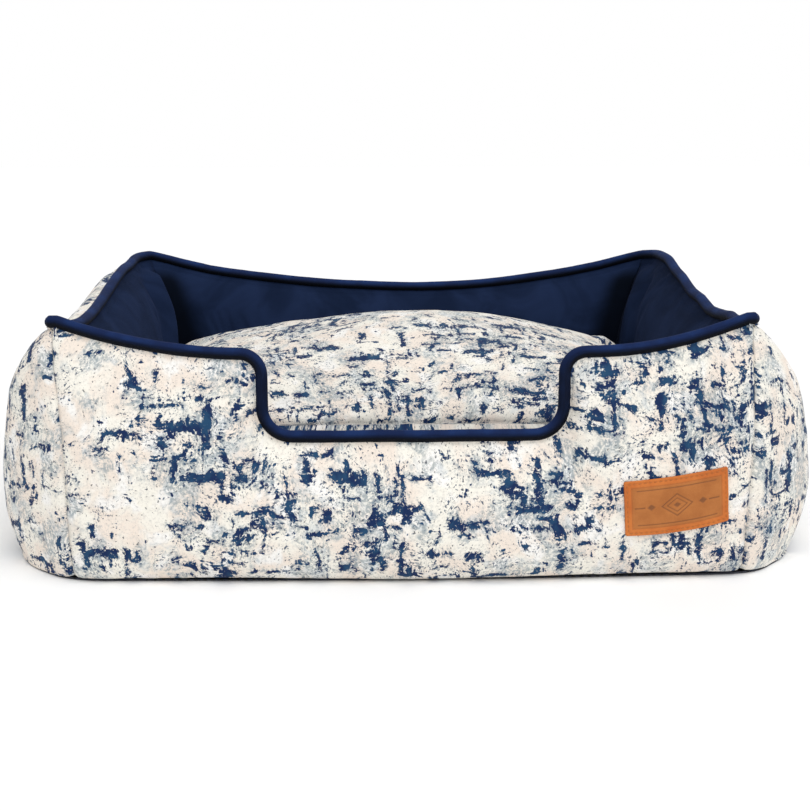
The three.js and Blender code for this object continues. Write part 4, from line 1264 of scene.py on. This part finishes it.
def split_cushion(obj):
    """Cuts the cushion into its top and bottom covers at the seam."""
    made = []
    for name, keep_top in (("cushion_top", True), ("cushion_bottom", False)):
        mesh = bmesh.new()
        mesh.from_mesh(obj.data)
        bmesh.ops.bisect_plane(
            mesh,
            geom=mesh.verts[:] + mesh.edges[:] + mesh.faces[:],
            plane_co=(0, 0, CUSHION_SEAM * MM),
            plane_no=(0, 0, 1),
            clear_inner=keep_top,
            clear_outer=not keep_top,
        )
        data = bpy.data.meshes.new(name)
        mesh.to_mesh(data)
        mesh.free()
        shade_smooth(data)
        piece = add_object(name, data)
        place_on_cloth = (3.3, 2.1) if keep_top else (5.9, 0.7)
        give_map(data, cushion_map(coordinates(piece) / MM - ORIGIN) + place_on_cloth)
        made.append(piece)
    bpy.data.objects.remove(obj)
    return made


# ------------------------------------------------------------------ base and inner floor


def build_flat(name, ring, bottom):
    """A flat sheet just inside a ring, as rings of points from its edge to its middle."""
    thickness, inside = 1.5, 1 - 1.05 / 300
    outline = even_line(ring, 60) * inside
    shares = np.concatenate([[1, 0.997, 0.99], np.linspace(0.975, 0.02, 46)])
    lower = np.stack([outline * share for share in shares])
    lower[..., 2] = bottom
    top = lower + (0, 0, thickness)
    rows, count = top.shape[:2]
    half = rows * count
    tips = [top[-1].mean(0), lower[-1].mean(0)]
    points = np.concatenate([top.reshape(-1, 3), lower.reshape(-1, 3), tips])
    faces = [list(f) for f in grid_faces(rows, count, closed=True)]
    faces += [list(f) for f in grid_faces(rows, count, closed=True, flip=True, offset=half)]
    for i in range(count):
        j = (i + 1) % count
        faces.append([j, i, i + half, j + half])
    faces += fan(half - count, count, 2 * half) + fan(2 * half - count, count, 2 * half + 1, flip=True)
    sheet = new_object(name, settle(points, False), faces, points[:, :2] * MM)
    depth = np.tile(np.repeat((1 - shares) * ring["y"], count), 2)
    give_values(sheet, "hem", np.append(depth, [ring["y"]] * 2))
    return sheet


# ------------------------------------------------------------------ things sewn on

LABEL = {"x": 220, "z": 70, "width": 89, "height": 47, "tilt": 7.6, "thickness": 2.0}
STITCH_INSET = 2.6


def surface_of(obj):
    return BVHTree.FromObject(obj, bpy.context.evaluated_depsgraph_get())


def drop_on(tree, start, direction, reach=60.0):
    """Where lines from a grid of start points meet a surface, in design millimetres."""
    flat = start.reshape(-1, 3)
    way = Vector(direction)
    hits = np.empty_like(flat)
    for i, point in enumerate(flat):
        found = tree.ray_cast(Vector(to_frame(point)), way)[0]
        hits[i] = np.array(found) / MM - ORIGIN if found else point + np.array(direction) * reach
    return hits.reshape(start.shape)


def smoothed(grid, times):
    """A grid of points with its small unevenness taken out."""
    for _ in range(times):
        for axis in (0, 1):
            turned = np.moveaxis(grid, axis, 0)
            inner = (turned[:-2] + 2 * turned[1:-1] + turned[2:]) / 4
            grid = np.moveaxis(np.concatenate([turned[:1], inner, turned[-1:]]), 0, axis)
    return grid


def lozenge(x, y, half_width, half_height):
    """Distance outside a lozenge, roughly in millimetres."""
    return (np.abs(x) / half_width + np.abs(y) / half_height - 1) * min(half_width, half_height)


def label_ornament(x, y):
    """How deep a plain ornament is pressed in, from 0 to 1: lozenges between two rules."""
    outlines = [(lozenge(x, y, 13, 9), 0.7), (lozenge(x, y, 8.5, 5.6), 0.5)]
    marks = [np.clip(1.2 - np.abs(off) / width, 0, 1) for off, width in outlines]
    marks.append(np.clip(-lozenge(x, y, 4, 2.6), 0, 1))
    for sign in (-1, 1):
        beside = sign * x
        marks.append(np.clip(-lozenge(beside - 22, y, 4.2, 3.0), 0, 1))
        marks.append(np.where((beside > 27) & (beside < 36), np.clip(1.3 - np.abs(y) / 0.6, 0, 1), 0))
        rule = np.clip(1.2 - np.abs(sign * y - 14.5) / 0.5, 0, 1)
        marks.append(np.where(np.abs(x) < 34, rule, 0))
    return np.max(marks, 0)


def bilinear(values, rows, columns):
    """Values of a grid at every pair of fractional rows and columns."""
    r, c = np.floor(rows).astype(int), np.floor(columns).astype(int)
    r, c = np.clip(r, 0, values.shape[0] - 2), np.clip(c, 0, values.shape[1] - 2)
    fr, fc = (rows - r)[:, None], (columns - c)[None]
    a = values[np.ix_(r, c)] * (1 - fc) + values[np.ix_(r, c + 1)] * fc
    b = values[np.ix_(r + 1, c)] * (1 - fc) + values[np.ix_(r + 1, c + 1)] * fc
    return a * (1 - fr) + b * fr


def sample(grid, row, column):
    """The point of a grid at a fractional row and column."""
    row, column = np.array([row]), np.array([column])
    return np.array([bilinear(grid[..., k], row, column)[0, 0] for k in range(3)])


def stitch_ends(count, start, end):
    """Where each of count stitches in a row starts and ends, as shares of the row."""
    return [((k + start) / count, (k + end) / count) for k in range(count)]


LABEL_COLUMNS, LABEL_ROWS = 184, 96


def label_grid():
    """Places on the flat label, and the same with its four corners rounded off."""
    half_x, half_y, corner = LABEL["width"] / 2, LABEL["height"] / 2, 1.8
    columns, rows = np.linspace(-half_x, half_x, LABEL_COLUMNS), np.linspace(-half_y, half_y, LABEL_ROWS)
    x, y = np.meshgrid(columns, rows)
    past_x = np.clip(np.abs(x) - half_x + corner, 0, None)
    past_y = np.clip(np.abs(y) - half_y + corner, 0, None)
    keep = np.maximum(past_x, past_y) / np.maximum(np.hypot(past_x, past_y), 1e-9)
    keep = np.where((past_x > 0) & (past_y > 0), keep, 1)
    return x, y, x - np.sign(x) * past_x * (1 - keep), y - np.sign(y) * past_y * (1 - keep)


def cloth_under_label(panel, x, y):
    """The front panel's surface under each of the label's points."""
    tilt = math.radians(LABEL["tilt"])
    # The patch is sewn on soft cloth: its sides lean less than its ends, and its middle sags.
    lean = math.sin(tilt) - 0.078
    sag = (2.3 - 0.7 * y / (LABEL["height"] / 2)) * (1 - (2 * x / LABEL["width"]) ** 2)
    _, _, x_cut, y_cut = label_grid()
    y_sewn = y_cut - sag + 1.2
    across = LABEL["x"] + x_cut * math.cos(tilt) - y_sewn * lean
    up = LABEL["z"] + x_cut * math.sin(tilt) + y_sewn * math.cos(tilt)
    start = np.stack([across, 0 * x - 400, up], -1)
    # Every fourth line is enough, as leather lies evenly over the cloth's own unevenness.
    coarse = smoothed(drop_on(surface_of(panel), start[::4, ::4], (0, 1, 0)), 3)
    rows, columns = [place_in(np.arange(n), np.arange(0, n, 4)) for n in x.shape]
    return np.stack([across, bilinear(coarse[..., 1], rows, columns), up], -1)


def build_label(panel):
    x, y, _, _ = label_grid()
    under = cloth_under_label(panel, x, y)
    normal = grid_normals(under, False)
    inset = np.minimum(LABEL["width"] / 2 - np.abs(x), LABEL["height"] / 2 - np.abs(y))
    edge = np.sqrt(np.clip(1 - (1 - np.clip(inset / 0.8, 0, 1)) ** 2, 0, 1))
    press = label_ornament(x, y)
    frame_line = np.exp(-(((inset - 6.2) / 0.45) ** 2))
    stitched = np.exp(-(((inset - STITCH_INSET) / 0.7) ** 2))
    height = LABEL["thickness"] * (0.45 + 0.55 * edge)
    height = height - 0.4 * press - 0.35 * frame_line - 0.3 * stitched
    lift = 0.5
    front = under + normal * (height + lift)[..., None]
    sheet = shell("leather_patch", front, normal, 1.0, np.stack([x, y], -1) * MM)
    give_values(sheet, "press", np.maximum(press, frame_line * 0.35))
    give_values(sheet, "rim", np.clip((7.4 - inset) / 2.2, 0, 1))
    # Stitches sit in their groove, a given height over the cloth.
    surface = under + normal * (LABEL["thickness"] + lift - 0.25)
    half_w, half_h = LABEL["width"] / 2 - STITCH_INSET, LABEL["height"] / 2 - STITCH_INSET
    corners = [(-half_w, half_h), (half_w, half_h), (half_w, -half_h), (-half_w, -half_h), (-half_w, half_h)]
    runs = []
    for (ax, ay), (bx, by) in zip(corners, corners[1:]):
        for shares in stitch_ends(round(math.hypot(bx - ax, by - ay) / 4.3), 0.12, 0.88):
            ends = []
            for share in shares:
                row = place_in(ay + (by - ay) * share, y[:, 0])
                column = place_in(ax + (bx - ax) * share, x[0])
                ends.append((sample(surface, row, column), sample(normal, row, column)))
            runs.append(ends)
    return sheet, stitch_piece("label_stitches", runs, 0.42)


def stitch_piece(name, ends, radius):
    """Short threads that rise from the cloth in the middle and dip into it at both ends."""
    points, faces = [], []
    sides, steps = 6, 6
    for (start, out_a), (end, out_b) in ends:
        along = end - start
        along = along / np.linalg.norm(along)
        for i in range(steps + 1):
            t = i / steps
            out = out_a * (1 - t) + out_b * t
            arch = math.sin(math.pi * t)
            centre = start * (1 - t) + end * t + out * (radius * 1.3 * arch - radius * 0.8)
            points += hoop(centre, np.cross(out, along), out, radius * (0.55 + 0.45 * arch), sides)
        faces += rod_faces(len(points) - (steps + 1) * sides, steps, sides)
    return new_object(name, points, faces)


def hoop(centre, a, b, radius, sides):
    """Points of a circle in the plane of a and b."""
    turns = [2 * math.pi * k / sides for k in range(sides)]
    return [centre + radius * (math.cos(turn) * a + math.sin(turn) * b) for turn in turns]


def rod_faces(first, steps, sides):
    """Faces of a rod made of hoops, closed at both ends, whose points start at first."""
    rod = grid_faces(steps + 1, sides, closed=True, flip=True, offset=first).tolist()
    hoop_ends = list(range(first, first + sides))
    return rod + [hoop_ends, [steps * sides + point for point in hoop_ends[::-1]]]


def on_section(section, t, sign):
    """A place on a section of the bed, given as (out, up) points, and the way out from it."""
    a, b, c, d = section
    way = (b - a) * (1 - t) ** 2 + 2 * (c - b) * t * (1 - t) + (d - c) * t * t
    way = way / np.linalg.norm(way) * sign
    return np.array([0, *cubic(section, t)]), np.array([0, way[1], -way[0]])


def bolster_zip_frame():
    """Origin and outward direction of the zip low on the back wall."""
    outs = [ring["y"] for ring in OUTER_RINGS] + [SEAM["y"] + BACK_BOW]
    top = SEAM_HEIGHT - BACK_SAG
    ups = [OUTER_RINGS[0]["z"] * SEAM_HEIGHT, OUTER_RINGS[1]["z"] * top, OUTER_RINGS[2]["z"] * top, top]
    return on_section(np.stack([outs, ups], -1), BOLSTER_ZIP_AT, 1)


def cushion_zip_frame():
    """The same for the zip low on the cushion's rear."""
    section = UNDERSIDE * (-1, 1) + (CUSHION["y"], 0)
    section[0, 1] -= 0.175  # half the seam's gap
    return on_section(section, CUSHION_ZIP_AT, -1)


def facing(grid, uv, normal):
    """A grid and its UV map, turned round where the grid would face inwards."""
    if np.cross(grid[0, 1] - grid[0, 0], grid[1, 0] - grid[0, 0]) @ normal < 0:
        return grid[:, ::-1], uv[:, ::-1]
    return grid, uv


def over_cloth(origin, normal, cloth_piece, x, w, highest):
    """Places x along a zip and w below its middle, and how far the cloth stands over them."""
    down = np.cross(normal, (1, 0, 0))
    flat = origin + np.array([1.0, 0, 0]) * x[..., None] + down * w[..., None]
    hit = drop_on(surface_of(cloth_piece), flat + normal * 12, tuple(-normal), 12.0)
    return flat, np.clip((hit - flat) @ normal, -2.5, highest)


def build_zip(name, length, origin, normal, cloth_piece):
    """Both tapes with their stitching, and both rows of teeth, on the cloth under them."""
    thickness, half_width, stitched_at = 0.8, 11.15, 8.6
    xs = np.linspace(-length / 2, length / 2, int(length / 2.5))
    made = []
    for row, sign in (("upper", -1), ("lower", 1)):
        ws = np.array([0.18, 0.6, 1.2, 2.4, 4, 6, 8, 10, 10.8, half_width]) * sign
        w, x = np.meshgrid(ws, xs, indexing="ij")
        flat, rise = over_cloth(origin, normal, cloth_piece, x, w, 0.0)
        ripple = 0.12 * noise(np.stack([x, w, 0 * x], -1), 9, 141) * np.clip(np.abs(w) / 4 - 1, 0, 1)
        edge = np.clip((half_width - np.abs(w)) / 0.5, 0, 1)
        top = flat + normal * (rise + 0.35 + thickness * (0.7 + 0.3 * edge) + ripple)[..., None]
        grid, uv = facing(top, np.stack([x, w], -1), normal)
        out = np.broadcast_to(normal, top.shape)
        tape = shell(f"{name}_{row}_ribbon", grid, out, thickness * 0.8, uv * MM)
        made.append((tape, TAPE, "zip_tape", [f"{name}_{row}_tape"]))
        side = np.cross(normal, (1, 0, 0)) * sign
        teeth = build_teeth(f"{name}_{row}_teeth", length, origin, normal, side)
        made.append((teeth, COIL, "zip_coil", [f"{name}_{row}_coil"]))
        line = []
        for shares in stitch_ends(int(length / 3.4), 0.15, 0.85):
            columns = [place_in(length * (share - 0.5), xs) for share in shares]
            sewn = place_in(stitched_at, np.abs(ws))
            line.append([(sample(top, sewn, column), normal) for column in columns])
        made.append((stitch_piece(f"{name}_{row}_stitches", line, 0.28), NAVY_THREAD, "zip_tape", []))
    return made


def build_teeth(name, length, origin, normal, side):
    """A row of rounded coil loops, each a small arch across the coil's width."""
    half, pitch = length / 2 - 3.6, 1.5
    count = int(2 * half / pitch)
    points, faces = [], []
    sides, steps = 5, 8
    along = np.array([1.0, 0, 0])
    for k in range(count):
        x = -half + 2 * half * (k + 0.5) / count
        for i in range(steps + 1):
            turn = math.pi * i / steps
            reach = 0.6 + 2.25 * i / steps
            lift = 2.1 + 0.5 * math.sin(turn) ** 0.6
            centre = origin + along * (x + 0.3 * math.cos(turn)) + side * reach + normal * lift
            points += hoop(centre, along, normal, 0.42 if 0 < i < steps else 0.3, sides)
        faces += rod_faces(len(points) - (steps + 1) * sides, steps, sides)
    return outward(new_object(name, points, faces))


def outward(obj):
    """Turns every face of closed shells to look outwards."""
    mesh = bmesh.new()
    mesh.from_mesh(obj.data)
    bmesh.ops.recalc_face_normals(mesh, faces=mesh.faces)
    mesh.to_mesh(obj.data)
    mesh.free()
    return obj


def cast_metal(node_name):
    """A CAD part of the zip with the rounded edges of a casting."""
    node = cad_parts[node_name]
    mesh = node.data.copy()
    mesh.transform(node.matrix_world)
    obj = add_object(f"{node_name}_casting", mesh)
    bevel = obj.modifiers.new("bevel", "BEVEL")
    bevel.width = 0.00028
    bevel.segments = 3
    bevel.limit_method = "ANGLE"
    apply_modifiers(obj)
    shade_smooth(obj.data)
    return obj


def build_care_label(origin, normal, cloth_piece):
    first, last, half_width = 176, 210, 11
    xs, ws = np.linspace(first, last, 46), np.linspace(-half_width, half_width, 30)
    x, w = np.meshgrid(xs, ws)
    flat, rise = over_cloth(origin, normal, cloth_piece, x, w, 0.4)
    curl = 0.5 * ((x - first) / (last - first)) ** 2 + 0.12 * noise(np.stack([x, w, 0 * x], -1), 8, 151)
    even = smoothed((rise + 0.75)[..., None], 4)
    top = flat + normal * (even + curl[..., None])
    grid, uv = facing(top, np.stack([x, w], -1), normal)
    ribbon = shell("care_ribbon", grid, np.broadcast_to(normal, top.shape), 0.3, uv * MM)
    # Two rows of stitches hold the end beside the zip.
    runs = []
    for sewn_at in (178.2, 180.6):
        column = place_in(sewn_at, xs)
        for shares in stitch_ends(7, 0.14, 0.86):
            rows = [0.5 + share * (len(ws) - 2) for share in shares]
            runs.append([(sample(top, row, column), normal) for row in rows])
    return ribbon, stitch_piece("care_stitches", runs, 0.26)


# ------------------------------------------------------------------ assembly


def finish_piece(obj, material, body, nodes):
    obj.data.materials.clear()
    obj.data.materials.append(material)
    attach(obj, body)
    if nodes:
        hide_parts(*nodes)


panels = build_outer_panels()
for side, panel in panels.items():
    nodes = [f"{side}_outer_panel", f"{side}_bolster_fill"]
    finish_piece(panel, PRINT, "bed", nodes)
linings = build_linings()
for side, panel in linings.items():
    finish_piece(panel, VELVET, "bed", [f"{side}_lining"])
for name, obj in zip(("front", "rim"), build_piping()):
    nodes = [f"{name}_piping_cover", f"{name}_piping_cord"]
    finish_piece(obj, PIPING, "bed", nodes)
top, bottom = build_cushion(linings.values())
finish_piece(top, PRINT, "cushion", ["cushion_top_cover", "cushion_insert"])
finish_piece(bottom, PRINT, "cushion", ["cushion_bottom_cover"])
base = build_flat("base_sheet", OUTER_RINGS[0], 0.1)
finish_piece(base, BASE, "bed", ["base_panel"])
floor_sheet = build_flat("floor_lining", INNER_RINGS[0], 1.95)
finish_piece(floor_sheet, VELVET, "bed", ["inner_floor"])
patch, patch_stitches = build_label(panels["front"])
finish_piece(patch, LEATHER, "bed", ["leather_label"])
finish_piece(patch_stitches, LABEL_THREAD, "bed", ["label_stitching"])
zips = [
    ("bolster_zip", BOLSTER_ZIP_LENGTH, bolster_zip_frame(), panels["back"], "bed"),
    ("cushion_zip", CUSHION_ZIP_LENGTH, cushion_zip_frame(), bottom, "cushion"),
]
for name, length, (origin, normal), cloth_piece, body in zips:
    for obj, material, slot, nodes in build_zip(name, length, origin, normal, cloth_piece):
        finish_piece(obj, material, body, nodes)
    for part in ("slider", "pull_tab", "closed_stop", "open_stop"):
        node = f"{name}_{part}"
        rides = node if part in ("slider", "pull_tab") else body
        finish_piece(cast_metal(node), METAL, rides, [node])
care, care_stitches = build_care_label(*cushion_zip_frame(), bottom)
finish_piece(care, RIBBON, "cushion", ["care_label"])
finish_piece(care_stitches, CREAM_THREAD, "cushion", [])

# ------------------------------------------------------------------ floor and light

paper = Nodes("studio_floor")
paper.set(Base_Color=(0.98, 0.98, 0.98, 1), Roughness=0.9, Specular_IOR_Level=0.2)
ground = bpy.data.meshes.new("studio_floor")
ground.from_pydata([(-6, -6, 0), (6, -6, 0), (6, 6, 0), (-6, 6, 0)], [], [(0, 1, 2, 3)])
ground.materials.append(paper.material)
add_object("studio_floor", ground)

world = bpy.data.worlds.new("studio")
bpy.context.scene.world = world
world.use_nodes = True
tree = world.node_tree
sky = tree.nodes["Background"]
sky.inputs[0].default_value = (1, 1, 1, 1)
# The backdrop is white to the eye, and its light is softer than that.
path = tree.nodes.new("ShaderNodeLightPath")
level = tree.nodes.new("ShaderNodeMapRange")
level.inputs["To Min"].default_value = 0.62
level.inputs["To Max"].default_value = 1.0
tree.links.new(path.outputs["Is Camera Ray"], level.inputs["Value"])
tree.links.new(level.outputs[0], sky.inputs[1])

key = bpy.data.lights.new("key", "SUN")
key.energy = 1.6
key.angle = math.radians(60)
sun = add_object("key", key)
sun.rotation_euler = Vector((-0.2, 0.5, -1.0)).to_track_quat("-Z", "Y").to_euler()
bpy.context.scene.view_settings.view_transform = "Standard"
